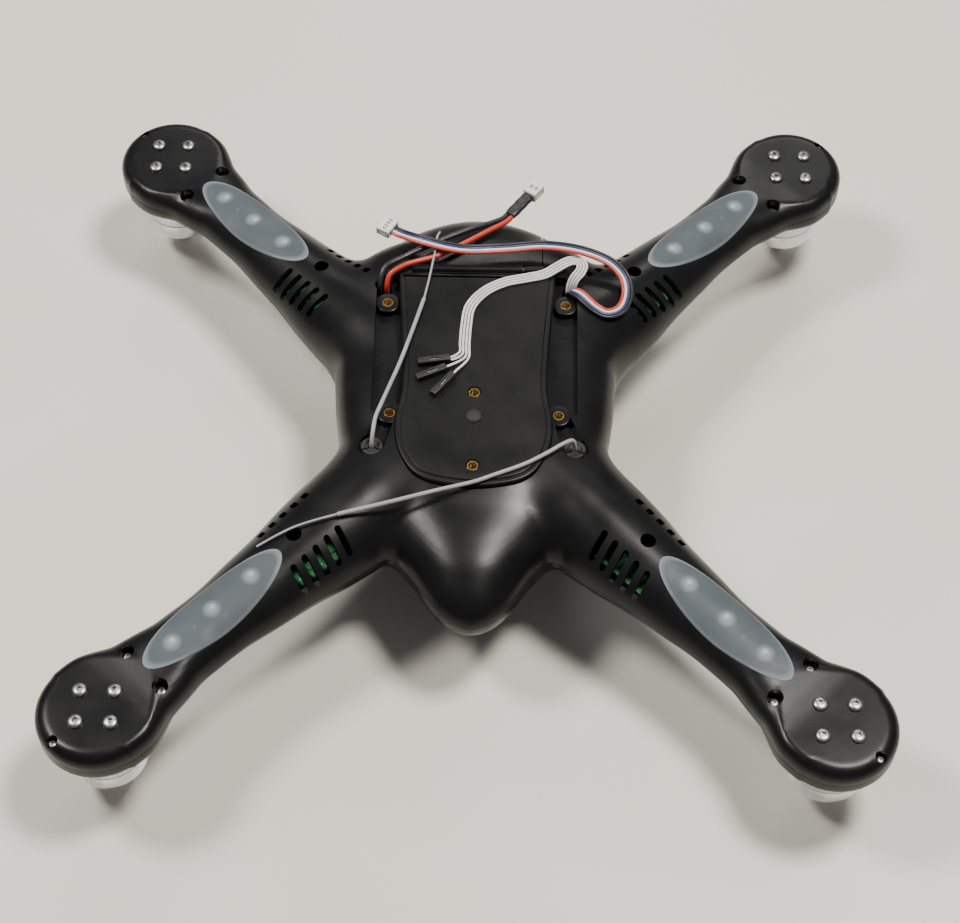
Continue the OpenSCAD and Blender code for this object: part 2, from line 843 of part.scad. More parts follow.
module battery_door() {
    color(black_shell)
        difference() {
            union() {
                intersection() {
                    difference() {
                        body_form(0, 0, body_points);
                        body_form(wall, deck_t, body_hollow_points);
                    }
                    translate([-door_w / 2, hinge_y, door_bottom_z])
                        cube([door_w, tail_length, belly_z]);
                }
                translate([-door_knuckle_half, hinge_y, hinge_z])
                    rotate([0, 90, 0])
                        cylinder(r = knuckle_r, h = 2 * door_knuckle_half, $fn = 32);
            }
            for (side = SIDES)
                translate([side * (door_knuckle_half + 20), hinge_y, hinge_z])
                    cube([40, 2 * (knuckle_r + door_gap), 2 * body_h], center = true);
            hinge_bore(hinge_pin_r + 0.1);
        }
}

module door_hinge_pin() {
    color(steel)
        translate([-door_w / 2 + 1, hinge_y, hinge_z])
            rotate([0, 90, 0])
                cylinder(r = hinge_pin_r, h = door_w - 2);
}

// ---- Inside the body ----

module battery_tray() {
    inner = battery_w + 1;
    outer = inner + 2 * tray_t;
    length = tray_rear_y - tray_front_y;
    color(black_shell)
        intersection() {
            difference() {
                translate([-outer / 2, tray_front_y, tray_z])
                    cube([outer, length, deck_under_z - tray_z]);
                translate([-inner / 2, tray_front_y + tray_t, tray_z + tray_t])
                    cube([inner, length, deck_under_z]);
            }
            body_form(wall, deck_t, body_hollow_points);
        }
}

module battery_pack() {
    color(battery_grey)
        translate([-battery_w / 2, tray_front_y + tray_t + 1, tray_z + tray_t])
            cube([battery_w, battery_length, battery_h]);
}

module flight_board() {
    color(board_green)
        translate([-28, -17, flight_board_z]) {
            cube([56, 44, board_t]);
            for (p = [[8, 8], [34, 8], [20, 24]])
                translate([p[0], p[1], board_t])
                    cube([11, 11, 1.4]);
        }
}

module gps_module() {
    color(board_green)
        translate([-gps_half_w, gps_front_y, gps_z])
            cube([2 * gps_half_w, 24, board_t]);
    color(white_plastic)
        translate([3 - gps_half_w, gps_front_y + 3, gps_z + board_t])
            cube([2 * gps_half_w - 6, 18, 3]);
}

module receiver_module() {
    color(board_green)
        translate([-receiver_half_w, receiver_rear_y - 26, receiver_z]) {
            cube([2 * receiver_half_w, 26, board_t]);
            translate([4, 5, board_t])
                cube([14, 12, 1.6]);
        }
}

// ---- Lights and speed controllers in the arms ----

lens_inset = 0.15;
lens_proud = 0.25;
lens_steps = 12;
lens_across = 8;

// One slice of the lens: across its top, then back across its underside.
function lens_ring(x) =
    let (share = (x - lens_offset) / (lens_length / 2 - lens_inset))
    let (half = max(0.4, (lens_w / 2 - lens_inset) * sqrt(max(0, 1 - share * share))))
    concat(
        [for (i = [0:lens_across]) let (y = half * (1 - 2 * i / lens_across)) [x, y, arm_surface(x, y) + lens_proud]],
        [for (i = [0:lens_across]) let (y = half * (2 * i / lens_across - 1)) [x, y, arm_surface(x, y) - lens_t]]
    );

module lens(side, end) {
    half = lens_length / 2 - lens_inset;
    color(frosted)
        at_arm(side, end)
            loft([for (i = [0:lens_steps]) lens_ring(lens_offset - half * cos(180 * i / lens_steps))]);
}

module led_strip(side, end) {
    color(board_green)
        at_arm(side, end)
            translate([lens_offset - 25, -4, led_board_z])
                cube([50, 8, 1]);
    color(white_plastic)
        at_arm(side, end)
            for (x = [-18, 0, 18])
                translate([lens_offset + x, 0, led_board_z + 1])
                    cylinder(r = 1.8, h = 1.2);
}

module esc_board(side, end) {
    color(board_green)
        at_arm(side, end)
            difference() {
                union() {
                    translate([vent_start - 4, -11, esc_z])
                        cube([25, 22, board_t]);
                    for (x = [4, 14])
                        translate([vent_start + x, -8, esc_z + board_t])
                            cube([5, 4, 1.2]);
                }
                translate([arm_screw[0], arm_screw[1], esc_z - 1])
                    cylinder(r = shell_screw_hole_r + 2, h = board_t + 2);
            }
}

// ---- Motors ----

module motor_base(side, end) {
    tube_z = bell_z + 5;
    color(aluminium)
        at_motor(side, end)
            difference() {
                union() {
                    translate([0, 0, pod_bottom_z - base_h])
                        cylinder(r = bell_r - 1, h = base_h);
                    translate([0, 0, tube_z])
                        cylinder(r = shaft_r + 2, h = pod_bottom_z - tube_z);
                }
                translate([0, 0, tube_z - 1])
                    cylinder(r = motor_shaft_r + bearing_clearance, h = pod_h + bell_h);
                at_motor_screws()
                    translate([0, 0, pod_bottom_z - base_h - 1])
                        cylinder(r = motor_screw_r, h = base_h + 2);
            }
}

stator_z = bell_z + 6;
stator_h = bell_h - 8;
stator_r = bell_r - bell_wall - 1.1 - stator_clearance;
stator_teeth = 12;

module stator(side, end) {
    core_r = shaft_r + 3.2;
    color(copper)
        at_motor(side, end)
            translate([0, 0, stator_z])
                difference() {
                    union() {
                        cylinder(r = core_r, h = stator_h);
                        for (i = [0:stator_teeth - 1])
                            rotate(i * 360 / stator_teeth) {
                                translate([0, -0.9, 0])
                                    cube([stator_r - 0.8, 1.8, stator_h]);
                                translate([stator_r - 1.4, -2, 0])
                                    cube([1.2, 4, stator_h]);
                            }
                    }
                    translate([0, 0, -1])
                        cylinder(r = shaft_r + 2, h = stator_h + 2);
                }
}

// The rotating bell: an aluminium cap with a hub, and a steel ring that carries the magnets.
module bell(side, end) {
    bore_r = motor_shaft_r;
    chamfer = 1.6;
    cap_t = 3;
    rim_z = bell_z + bell_h;
    color(aluminium)
        at_motor(side, end)
            rotate_extrude()
                polygon([
                    [bore_r, bell_z], [bell_r - chamfer, bell_z], [bell_r, bell_z + chamfer],
                    [bell_r, rim_z], [bell_r - bell_wall, rim_z], [bell_r - bell_wall, rim_z - 1],
                    [bell_r - bell_wall - 1.1, rim_z - 1], [bell_r - bell_wall - 1.1, bell_z + cap_t],
                    [shaft_r + 1.6, bell_z + cap_t], [shaft_r + 1.6, bell_z + cap_t + 1.4],
                    [bore_r, bell_z + cap_t + 1.4]
                ]);
}

module shaft(side, end) {
    tip = 0.6;
    color(steel)
        at_motor(side, end) {
            cylinder(r1 = shaft_r - tip, r2 = shaft_r, h = tip);
            translate([0, 0, tip])
                cylinder(r = shaft_r, h = bell_z - tip);
            translate([0, 0, bell_z])
                cylinder(r = motor_shaft_r, h = pod_bottom_z - bell_z);
        }
}

// ---- Screws ----

module socket_screw(r, length, head_r, head_h, socket_r) {
    difference() {
        union() {
            translate([0, 0, -length])
                cylinder(r = r, h = length);
            rotate_extrude()
                polygon([[0, 0], [head_r, 0], [head_r, head_h * 0.3], [head_r * 0.72, head_h], [0, head_h]]);
        }
        translate([0, 0, head_h * 0.35])
            cylinder(r = socket_r, h = head_h, $fn = 6);
    }
}

module motor_screws() {
    length = pod_h + base_h - 0.4;
    color(steel)
        at_every_motor()
            at_motor_screws()
                translate([0, 0, pod_top_z])
                    socket_screw(motor_screw_r, length, motor_screw_head_r, motor_screw_head_h, 1.15);
}

module shell_screws() {
    color(steel)
        at_every_arm()
            for (p = shell_screws_at)
                translate([p[0], p[1], shell_screw_seat_z])
                    socket_screw(shell_screw_r, 8, shell_screw_head_r, shell_screw_head_h, 0.9);
}

module rim_screws() {
    color(steel)
        at_every_arm()
            translate([-rim_screw_offset, 0, rim_screw_seat_z])
                socket_screw(shell_screw_r, 8, rim_screw_head_r, shell_screw_head_h, 0.8);
}

// ---- Leads and antennas ----

function unit(v) = v / norm(v);
function heading(route, i) =
    i == 0 ? unit(route[1] - route[0])
    : i == len(route) - 1 ? unit(route[i] - route[i - 1])
    : unit(unit(route[i] - route[i - 1]) + unit(route[i + 1] - route[i]));
function square_to(v, t) = unit(v - (v * t) * t);
// The sideways direction at each point, carried along the route without twist.
function carried(route, i, v) =
    let (n = square_to(v, heading(route, i)))
    i == len(route) - 1 ? [n] : concat([n], carried(route, i + 1, n));

// The sideways direction at each point, kept level.
function level(route) = [for (i = [0:len(route) - 1]) unit(cross([0, 0, 1], heading(route, i)))];

// A tube along a route, w wide along its sideways directions and t thick.
module tube(route, across, w, t) {
    loft([
        for (i = [0:len(route) - 1])
            let (over = cross(heading(route, i), across[i]))
            [
                for (k = [0:cord_sides - 1])
                    let (a = 360 * (k + 0.5) / cord_sides)
                    route[i] + across[i] * cos(a) * w / 2 + over * sin(a) * t / 2
            ]
    ]);
}

module lead(route, d) {
    tube(route, carried(route, 0, [1, 0.13, 0.07]), d, d);
}

module antenna_left_coax() {
    color(coax_grey)
        lead(antenna_left_coax_route, coax_d);
}

module antenna_left_wire() {
    color(coax_grey)
        lead(antenna_left_wire_route, antenna_wire_d);
}

module antenna_right_coax() {
    color(coax_grey)
        lead(antenna_right_coax_route, coax_d);
}

module antenna_right_wire() {
    color(coax_grey)
        lead(antenna_right_wire_route, antenna_wire_d);
}

module ribbon_lead() {
    color(ribbon_navy)
        tube(ribbon_route, level(ribbon_route), ribbon_w, ribbon_t);
}

module ribbon_plug() {
    color(white_plastic)
        translate(ribbon_plug_at)
            rotate(ribbon_plug_heading)
                translate([0, -3.9, -1.9])
                    difference() {
                        cube([6, 7.8, 3.8]);
                        translate([3, 1, 1])
                            cube([4, 5.8, 1.8]);
                    }
}

module power_lead_red() {
    color(red_lead)
        lead(power_red_route, power_lead_d);
}

module power_lead_black() {
    color(black_lead)
        lead(power_black_route, power_lead_d);
}

module power_sleeve() {
    route = [power_sleeve_from, power_sleeve_to];
    color(black_rubber)
        tube(route, level(route), 5.2, 3.6);
}

module power_plug() {
    color(white_plastic)
        translate(power_sleeve_to)
            rotate(power_plug_heading)
                translate([0, -3, -2.3])
                    difference() {
                        cube([7, 6, 4.6]);
                        translate([4, 0.9, 0.9])
                            cube([4, 4.2, 2.8]);
                    }
}

// The four signal leads run side by side, then part to their plugs.
module signal_leads() {
    color(white_plastic)
        for (i = [0:3]) {
            aside = (i - 1.5) * signal_spread;
            run = signal_route + aside * level(signal_route);
            lead(concat(run, signal_ends[i]), signal_lead_d);
        }
}

module signal_plugs() {
    color(black_rubber)
        for (plug = signal_plugs_at)
            translate(plug[0])
                rotate(plug[1])
                    translate([0, -signal_plug_size[1] / 2, 0])
                        cube(signal_plug_size);
}

upper_shell();
lower_shell();
belly_plate();
battery_door();
door_hinge_pin();
battery_tray();
battery_pack();
flight_board();
gps_module();
receiver_module();
antenna_grommet(LEFT);  // antenna_grommet_left
antenna_grommet(RIGHT);  // antenna_grommet_right
corner_inserts();
centre_inserts();
centre_bump();
lens(LEFT, FRONT);  // lens_front_left
lens(RIGHT, FRONT);  // lens_front_right
lens(LEFT, REAR);  // lens_rear_left
lens(RIGHT, REAR);  // lens_rear_right
led_strip(LEFT, FRONT);  // led_strip_front_left
led_strip(RIGHT, FRONT);  // led_strip_front_right
led_strip(LEFT, REAR);  // led_strip_rear_left
led_strip(RIGHT, REAR);  // led_strip_rear_right
esc_board(LEFT, FRONT);  // esc_board_front_left
esc_board(RIGHT, FRONT);  // esc_board_front_right
esc_board(LEFT, REAR);  // esc_board_rear_left
esc_board(RIGHT, REAR);  // esc_board_rear_right
motor_base(LEFT, FRONT);  // motor_base_front_left
motor_base(RIGHT, FRONT);  // motor_base_front_right
motor_base(LEFT, REAR);  // motor_base_rear_left
motor_base(RIGHT, REAR);  // motor_base_rear_right
stator(LEFT, FRONT);  // stator_front_left
stator(RIGHT, FRONT);  // stator_front_right
stator(LEFT, REAR);  // stator_rear_left
stator(RIGHT, REAR);  // stator_rear_right
bell(LEFT, FRONT);  // bell_front_left
bell(RIGHT, FRONT);  // bell_front_right
bell(LEFT, REAR);  // bell_rear_left
bell(RIGHT, REAR);  // bell_rear_right
shaft(LEFT, FRONT);  // shaft_front_left
shaft(RIGHT, FRONT);  // shaft_front_right
shaft(LEFT, REAR);  // shaft_rear_left
shaft(RIGHT, REAR);  // shaft_rear_right
motor_screws();
shell_screws();
rim_screws();
antenna_left_coax();
antenna_left_wire();
antenna_right_coax();
antenna_right_wire();
ribbon_lead();
ribbon_plug();
power_lead_red();
power_lead_black();
power_sleeve();
power_plug();
signal_leads();
signal_plugs();
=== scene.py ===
# The looks of the camera drone airframe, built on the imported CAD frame.
# Shapes are worked out in millimetres in the frame's axes and made in metres.
# The aircraft lies belly up: +Z out of the belly, -Y to the nose, -X its left side.

import math

import bmesh
import bpy
import numpy as np
import openvdb
from mathutils import Matrix, Vector


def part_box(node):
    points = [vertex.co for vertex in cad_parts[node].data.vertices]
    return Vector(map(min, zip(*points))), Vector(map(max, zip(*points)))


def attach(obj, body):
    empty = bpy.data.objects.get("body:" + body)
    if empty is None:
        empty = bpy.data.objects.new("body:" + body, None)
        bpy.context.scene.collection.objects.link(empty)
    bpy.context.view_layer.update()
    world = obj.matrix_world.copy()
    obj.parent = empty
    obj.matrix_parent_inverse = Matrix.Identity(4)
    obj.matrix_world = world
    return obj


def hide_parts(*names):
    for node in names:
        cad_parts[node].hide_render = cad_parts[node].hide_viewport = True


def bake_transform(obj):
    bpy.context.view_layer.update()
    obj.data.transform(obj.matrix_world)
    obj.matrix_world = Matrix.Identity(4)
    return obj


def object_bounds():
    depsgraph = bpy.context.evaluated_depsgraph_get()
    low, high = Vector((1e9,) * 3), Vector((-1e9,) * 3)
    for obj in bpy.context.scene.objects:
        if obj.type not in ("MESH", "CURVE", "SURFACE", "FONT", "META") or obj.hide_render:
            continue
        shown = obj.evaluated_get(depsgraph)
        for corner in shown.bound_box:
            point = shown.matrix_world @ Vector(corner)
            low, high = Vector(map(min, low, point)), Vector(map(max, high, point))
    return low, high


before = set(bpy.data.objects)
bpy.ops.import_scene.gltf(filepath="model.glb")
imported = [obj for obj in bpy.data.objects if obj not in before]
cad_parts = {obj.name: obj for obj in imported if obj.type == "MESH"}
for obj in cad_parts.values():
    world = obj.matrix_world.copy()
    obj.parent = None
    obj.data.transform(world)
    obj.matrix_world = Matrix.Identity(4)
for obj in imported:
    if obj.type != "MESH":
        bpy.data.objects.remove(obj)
cad_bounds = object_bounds()

MM = 0.001
CORNERS = ["front_left", "front_right", "rear_left", "rear_right"]


def side_of(corner):
    return -1 if "left" in corner else 1


def end_of(corner):
    return -1 if "front" in corner else 1


def node_box(node):
    """Lowest and highest corners of a CAD node, in millimetres."""
    low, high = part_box(node)
    return np.array(low) / MM, np.array(high) / MM


# ---- Sizes shared with the CAD model, some read back from its boxes ----

bell_low, bell_high = node_box("bell_front_right")
MOTOR_X = (bell_low[0] + bell_high[0]) / 2
BELL_R = (bell_high[0] - bell_low[0]) / 2
BELL_Z0, BELL_Z1 = bell_low[2], bell_high[2]
POD_BOTTOM_Z = node_box("motor_base_front_right")[1][2]
POD_R = node_box("lower_shell")[1][0] - MOTOR_X
BELLY_Z = node_box("belly_plate")[1][2] - 1
POD_TOP_Z = BELLY_Z - 14
SEAM_Z = POD_TOP_Z - 7.5
CANOPY_Z = node_box("upper_shell")[0][2]
WALL = 2.2
DECK_UNDER_Z = BELLY_Z - 4.2
CHANNEL_Z = BELLY_Z - 6
PLATE_LOW, PLATE_HIGH = node_box("belly_plate")
PIN_LOW, PIN_HIGH = node_box("door_hinge_pin")
HINGE_Y = (PIN_LOW[1] + PIN_HIGH[1]) / 2
HINGE_Z = (PIN_LOW[2] + PIN_HIGH[2]) / 2
KNUCKLE_R = 1.8
DOOR_HALF = 25.6
DOOR_GAP = 0.4
DOOR_BOTTOM_Z = BELLY_Z - 34
SCREW_SQUARE = 12.3
RIM_SCREW = 19.0
NECK_SCREW = (21.4, 9.5)
ARM_SCREW = (94.0, 1.5)
LENS_MIDDLE, LENS_HALF, LENS_HALF_W = 54.0, 32.0, 9.8
VENT_START, VENT_PITCH, VENT_COUNT = 87.0, 5.4, 5
REAR_INSERT = (35.0, 44.5)
FRONT_INSERT = (32.0, -9.0)
CENTRE_INSERTS = (-35.0, -1.5)
GROMMET = (38.0, -24.0)
LEAD_HOLE = (37.0, 52.5)
INSERT_HOLE_R = 2.3
WELL_R, RIM_WELL_R = 2.9, 2.1
BOSS_R, RIM_BOSS_R = 4.1, 2.7
WELL_FLOOR_Z = SEAM_Z + 3
RIM_FLOOR_Z = POD_TOP_Z - 3.8

# ---- Camera ----

CAMERA_AT = Vector((0.00828, -0.46315, 0.68914))
CAMERA_TARGET = Vector((0.0026, -0.0231, 0.050))
CAMERA_ROLL = math.radians(0.43)
CAMERA_LENS = 76.84


def make_camera():
    data = bpy.data.cameras.new("camera")
    data.sensor_fit = "HORIZONTAL"
    data.sensor_width = 36
    data.lens = CAMERA_LENS
    camera = bpy.data.objects.new("camera", data)
    bpy.context.scene.collection.objects.link(camera)
    forward = (CAMERA_TARGET - CAMERA_AT).normalized()
    right = forward.cross(Vector((0, 0, 1))).normalized()
    up = right.cross(forward)
    across = right * math.cos(CAMERA_ROLL) + up * math.sin(CAMERA_ROLL)
    upright = up * math.cos(CAMERA_ROLL) - right * math.sin(CAMERA_ROLL)
    turn = Matrix((across, upright, -forward)).transposed()
    camera.matrix_world = Matrix.Translation(CAMERA_AT) @ turn.to_4x4()
    bpy.context.scene.camera = camera


make_camera()


# ---- Materials ----


class Surface:
    """A procedural material around one Principled shader. Sizes are in metres."""

    def __init__(self, name, base, roughness, metallic=0.0):
        self.material = bpy.data.materials.new(name)
        self.material.use_nodes = True
        self.tree = self.material.node_tree
        self.shader = self.tree.nodes["Principled BSDF"]
        self.shader.inputs["Base Color"].default_value = (*base, 1)
        self.shader.inputs["Roughness"].default_value = roughness
        self.shader.inputs["Metallic"].default_value = metallic
        self.base = base
        self.roughness = roughness
        self.places = self.node("ShaderNodeTexCoord").outputs["Object"]
        self.bump = None

    def node(self, kind, **settings):
        made = self.tree.nodes.new(kind)
        for key, value in settings.items():
            setattr(made, key, value)
        return made

    def link(self, source, socket):
        self.tree.links.new(source, socket)

    def set(self, **sockets):
        for name, value in sockets.items():
            self.shader.inputs[name.replace("_", " ")].default_value = value
        return self

    def stretched(self, stretch, source=None):
        mapping = self.node("ShaderNodeMapping")
        mapping.inputs["Scale"].default_value = stretch
        self.link(source or self.places, mapping.inputs["Vector"])
        return mapping.outputs["Vector"]

    def noise(self, size, detail=3.0, stretch=(1, 1, 1), source=None):
        made = self.node("ShaderNodeTexNoise")
        made.inputs["Scale"].default_value = 1 / size
        made.inputs["Detail"].default_value = detail
        self.link(self.stretched(stretch, source), made.inputs["Vector"])
        return made.outputs["Fac"]

    def ramp(self, source, low, high, start=0.3, stop=0.7):
        made = self.node("ShaderNodeMapRange")
        made.inputs["From Min"].default_value = start
        made.inputs["From Max"].default_value = stop
        made.inputs["To Min"].default_value = low
        made.inputs["To Max"].default_value = high
        self.link(source, made.inputs["Value"])
        return made.outputs["Result"]

    def blend_colour(self, factor, first, second):
        mix = self.node("ShaderNodeMix", data_type="RGBA")
        self.link(factor, mix.inputs["Factor"])
        for value, socket in ((first, mix.inputs[6]), (second, mix.inputs[7])):
            if isinstance(value, tuple):
                socket.default_value = (*value, 1)
            else:
                self.link(value, socket)
        return mix.outputs[2]

    def tinted(self, other, size, share=1.0, detail=4.0):
        """Colour that drifts between the base and another one."""
        factor = self.ramp(self.noise(size, detail), 0, share)
        self.link(self.blend_colour(factor, self.base, other), self.shader.inputs["Base Color"])
        return self

    def worn(self, spread, size, detail=4.0):
        """Roughness that varies over the surface."""
        varied = self.ramp(self.noise(size, detail), self.roughness - spread, self.roughness + spread)
        self.link(varied, self.shader.inputs["Roughness"])
        return self

    def raised(self, height, strength, distance=0.0002):
        bump = self.node("ShaderNodeBump")
        bump.inputs["Strength"].default_value = strength
        bump.inputs["Distance"].default_value = distance
        self.link(height, bump.inputs["Height"])
        if self.bump:
            self.link(self.bump, bump.inputs["Normal"])
        self.bump = bump.outputs["Normal"]
        self.link(self.bump, self.shader.inputs["Normal"])
        return self

    def grained(self, size, strength, stretch=(1, 1, 1), distance=0.0001):
        return self.raised(self.noise(size, 2.0, stretch), strength, distance)


def moulded(name, base, other, roughness, sheen=0.36):
    """Moulded plastic: fine spark-eroded grain, faint flow marks and fingerprints."""
    made = Surface(name, base, roughness)
    made.tinted(other, 0.012, 0.8)
    made.worn(0.06, 0.018)
    made.grained(0.0004, 0.22)
    made.grained(0.006, 0.05, distance=0.0004)
    made.set(Specular_IOR_Level=sheen)
    return made


def turned(name, base, other, roughness, stretch=(1, 1, 0.03), marks=0.12):
    """Machined metal with fine tool marks along one direction."""
    made = Surface(name, base, roughness, 1.0)
    streaks = made.noise(0.0009, 3.0, stretch)
    made.link(
        made.blend_colour(made.ramp(streaks, 0, 1), base, other), made.shader.inputs["Base Color"]
    )
    made.link(
        made.ramp(made.noise(0.0006, 2.0, stretch), roughness - 0.07, roughness + 0.1),
        made.shader.inputs["Roughness"],
    )
    made.raised(streaks, marks, 0.00005)
    return made


def sleeved(name, base, other, roughness=0.42):
    """The soft sleeve of a lead: slight kinks in the gloss and a dusty tint."""
    made = Surface(name, base, roughness)
    made.tinted(other, 0.004, 0.9)
    made.worn(0.08, 0.003)
    made.grained(0.0005, 0.1)
    return made


def circuit_board(name):
    made = Surface(name, (0.012, 0.11, 0.035), 0.38)
    tracks = made.node("ShaderNodeTexBrick")
    tracks.inputs["Scale"].default_value = 420
    tracks.inputs["Mortar Size"].default_value = 0.035
    tracks.inputs["Color1"].default_value = (0.01, 0.1, 0.03, 1)
    tracks.inputs["Color2"].default_value = (0.016, 0.15, 0.045, 1)
    tracks.inputs["Mortar"].default_value = (0.03, 0.26, 0.08, 1)
    made.link(made.places, tracks.inputs["Vector"])
    pads = made.node("ShaderNodeTexVoronoi")
    pads.inputs["Scale"].default_value = 650
    made.link(made.places, pads.inputs["Vector"])
    pad_share = made.ramp(pads.outputs["Distance"], 1, 0, 0.14, 0.18)
    colour = made.blend_colour(pad_share, tracks.outputs["Color"], (0.65, 0.62, 0.55))
    made.link(colour, made.shader.inputs["Base Color"])
    made.link(made.ramp(pad_share, 0.38, 0.2, 0, 1), made.shader.inputs["Roughness"])
    made.raised(pad_share, 0.3, 0.0001)
    return made


def frosted_lens(name):
    """Frosted lens over three lights, with painted glints over the lights and a painted highlight round its
    edge: its own length runs along U and its width along V.
    """
    made = Surface(name, (0.075, 0.09, 0.1), 0.5)
    place = made.node("ShaderNodeTexCoord").outputs["UV"]
    apart = made.node("ShaderNodeSeparateXYZ")
    made.link(place, apart.inputs["Vector"])

    def spot(u, v, reach_u, reach_v):
        shifted = made.node("ShaderNodeMapping")
        shifted.inputs["Location"].default_value = (-u / reach_u, -v / reach_v, 0)
        shifted.inputs["Scale"].default_value = (1 / reach_u, 1 / reach_v, 1)
        made.link(place, shifted.inputs["Vector"])
        length = made.node("ShaderNodeVectorMath", operation="LENGTH")
        made.link(shifted.outputs["Vector"], length.inputs[0])
        return made.ramp(length.outputs["Value"], 1, 0, 0.35, 1)

    clouds = made.ramp(made.noise(0.009, 3), 0, 0.6)
    colour = made.blend_colour(clouds, (0.066, 0.08, 0.09), (0.09, 0.106, 0.118))
    # Lighter patches over the three lights under the lens, each with a smaller, brighter painted glint near
    # its middle.
    for u in (-0.6, -0.02, 0.56):
        colour = made.blend_colour(spot(u, 0, 0.12, 0.4), colour, (0.2, 0.235, 0.255))
        colour = made.blend_colour(spot(u + 0.02, 0.05, 0.045, 0.16), colour, (0.34, 0.37, 0.385))
    colour = made.blend_colour(spot(-0.3, -0.12, 0.035, 0.12), colour, (0.1, 0.12, 0.14))
    # A lighter ring round the lens's edge: a painted edge highlight.
    radial = made.node("ShaderNodeVectorMath", operation="LENGTH")
    made.link(place, radial.inputs[0])
    rim = made.ramp(radial.outputs["Value"], 0, 0.75, 0.9, 0.98)
    colour = made.blend_colour(rim, colour, (0.2, 0.23, 0.25))
    made.link(colour, made.shader.inputs["Base Color"])
    made.worn(0.07, 0.006)
    made.grained(0.0003, 0.12)
    made.set(Specular_IOR_Level=0.2, Subsurface_Weight=0.05, Subsurface_Scale=0.002)
    return made


SHELL = moulded("shell_plastic", (0.0045, 0.0045, 0.005), (0.0075, 0.0075, 0.008), 0.3, 0.24)
BELLY = moulded("belly_plastic", (0.0042, 0.0042, 0.0044), (0.0065, 0.0065, 0.007), 0.36, 0.24)
INNER = moulded("inner_plastic", (0.02, 0.02, 0.022), (0.03, 0.03, 0.03), 0.55)
RUBBER = moulded("black_rubber", (0.012, 0.012, 0.012), (0.022, 0.021, 0.02), 0.66)
BLACK_PLUG = moulded("black_plug_plastic", (0.012, 0.012, 0.013), (0.02, 0.02, 0.02), 0.48)
WHITE_PLUG = moulded("white_plug_plastic", (0.72, 0.71, 0.67), (0.64, 0.62, 0.57), 0.4)
BATTERY_WRAP = moulded("battery_wrap", (0.05, 0.055, 0.075), (0.07, 0.075, 0.1), 0.3)
STEEL = turned("screw_steel", (0.4, 0.4, 0.4), (0.35, 0.35, 0.35), 0.32, (1, 1, 1), 0.01)
SHAFT_STEEL = turned("shaft_steel", (0.66, 0.66, 0.67), (0.5, 0.5, 0.51), 0.2, (0.1, 0.1, 1))
POLISHED = turned("polished_aluminium", (0.93, 0.93, 0.95), (0.78, 0.78, 0.82), 0.13)
RING_STEEL = turned("flux_ring", (0.8, 0.79, 0.84), (0.7, 0.69, 0.75), 0.22)
BASE_METAL = turned("motor_base_metal", (0.5, 0.5, 0.52), (0.38, 0.38, 0.4), 0.35, (1, 1, 0.2))
MAGNET = turned("magnet", (0.4, 0.4, 0.41), (0.3, 0.3, 0.31), 0.3, (1, 1, 1))
BRASS = turned("brass", (0.55, 0.4, 0.17), (0.36, 0.25, 0.1), 0.32, (1, 1, 1))
COPPER = turned("copper_winding", (0.6, 0.24, 0.09), (0.4, 0.13, 0.05), 0.34, (1, 1, 5))
CONTACT = turned("plug_contact", (0.7, 0.66, 0.55), (0.55, 0.5, 0.4), 0.3, (1, 1, 1))
BOARD = circuit_board("circuit_board")
LENS = frosted_lens("frosted_lens")
COAX_GREY = sleeved("coax_grey", (0.33, 0.33, 0.345), (0.27, 0.27, 0.285), 0.45)
WHITE_SLEEVE = sleeved("white_sleeve", (0.72, 0.71, 0.68), (0.62, 0.6, 0.57))
RED_SLEEVE = sleeved("red_sleeve", (0.5, 0.045, 0.025), (0.4, 0.03, 0.02), 0.36)
BLACK_SLEEVE = sleeved("black_sleeve", (0.012, 0.012, 0.014), (0.02, 0.02, 0.022), 0.36)
NAVY_SLEEVE = sleeved("navy_sleeve", (0.02, 0.022, 0.09), (0.03, 0.032, 0.11), 0.38)


# ---- Mesh helpers: every shape comes in as millimetres ----


def add_object(name, mesh):
    made = bpy.data.objects.new(name, mesh)
    bpy.context.scene.collection.objects.link(made)
    return made


def from_bmesh(name, shape):
    mesh = bpy.data.meshes.new(name)
    bmesh.ops.recalc_face_normals(shape, faces=shape.faces)
    shape.to_mesh(mesh)
    shape.free()
    return add_object(name, mesh)


def from_points(name, points, faces):
    mesh = bpy.data.meshes.new(name)
    mesh.from_pydata([tuple(MM * float(c) for c in p) for p in points], [], faces)
    mesh.update()
    made = add_object(name, mesh)
    tidy_normals(made)
    return made


def tidy_normals(made):
    shape = bmesh.new()
    shape.from_mesh(made.data)
    bmesh.ops.recalc_face_normals(shape, faces=shape.faces)
    shape.to_mesh(made.data)
    shape.free()


def remove(*objects):
    for o in objects:
        bpy.data.objects.remove(o)


def applied(made):
    """Turns an object's modifiers into plain mesh."""
    graph = bpy.context.evaluated_depsgraph_get()
    mesh = bpy.data.meshes.new_from_object(made.evaluated_get(graph))
    made.modifiers.clear()
    made.data = mesh
    return made


def boolean(made, other, operation, keep=False):
    modifier = made.modifiers.new("boolean", "BOOLEAN")
    modifier.operation = operation
    modifier.solver = "MANIFOLD"
    modifier.object = other
    applied(made)
    if not keep:
        remove(other)
    return made


def cut(made, *cutters):
    for cutter in cutters:
        boolean(made, cutter, "DIFFERENCE")
    return made


def joined(name, objects):
    """One mesh from several objects, each keeping its own materials."""
    materials = []
    points, faces, slots = [], [], []
    for o in objects:
        start = len(points)
        points += [o.matrix_world @ v.co for v in o.data.vertices]
        own = [m for m in o.data.materials] or [None]
        for m in own:
            if m not in materials:
                materials.append(m)
        for f in o.data.polygons:
            faces.append([start + i for i in f.vertices])
            slots.append(materials.index(own[min(f.material_index, len(own) - 1)]))
    mesh = bpy.data.meshes.new(name)
    mesh.from_pydata([tuple(p) for p in points], [], faces)
    for m in materials:
        if m:
            mesh.materials.append(m)
    mesh.polygons.foreach_set("material_index", slots)
    mesh.update()
    remove(*objects)
    return add_object(name, mesh)


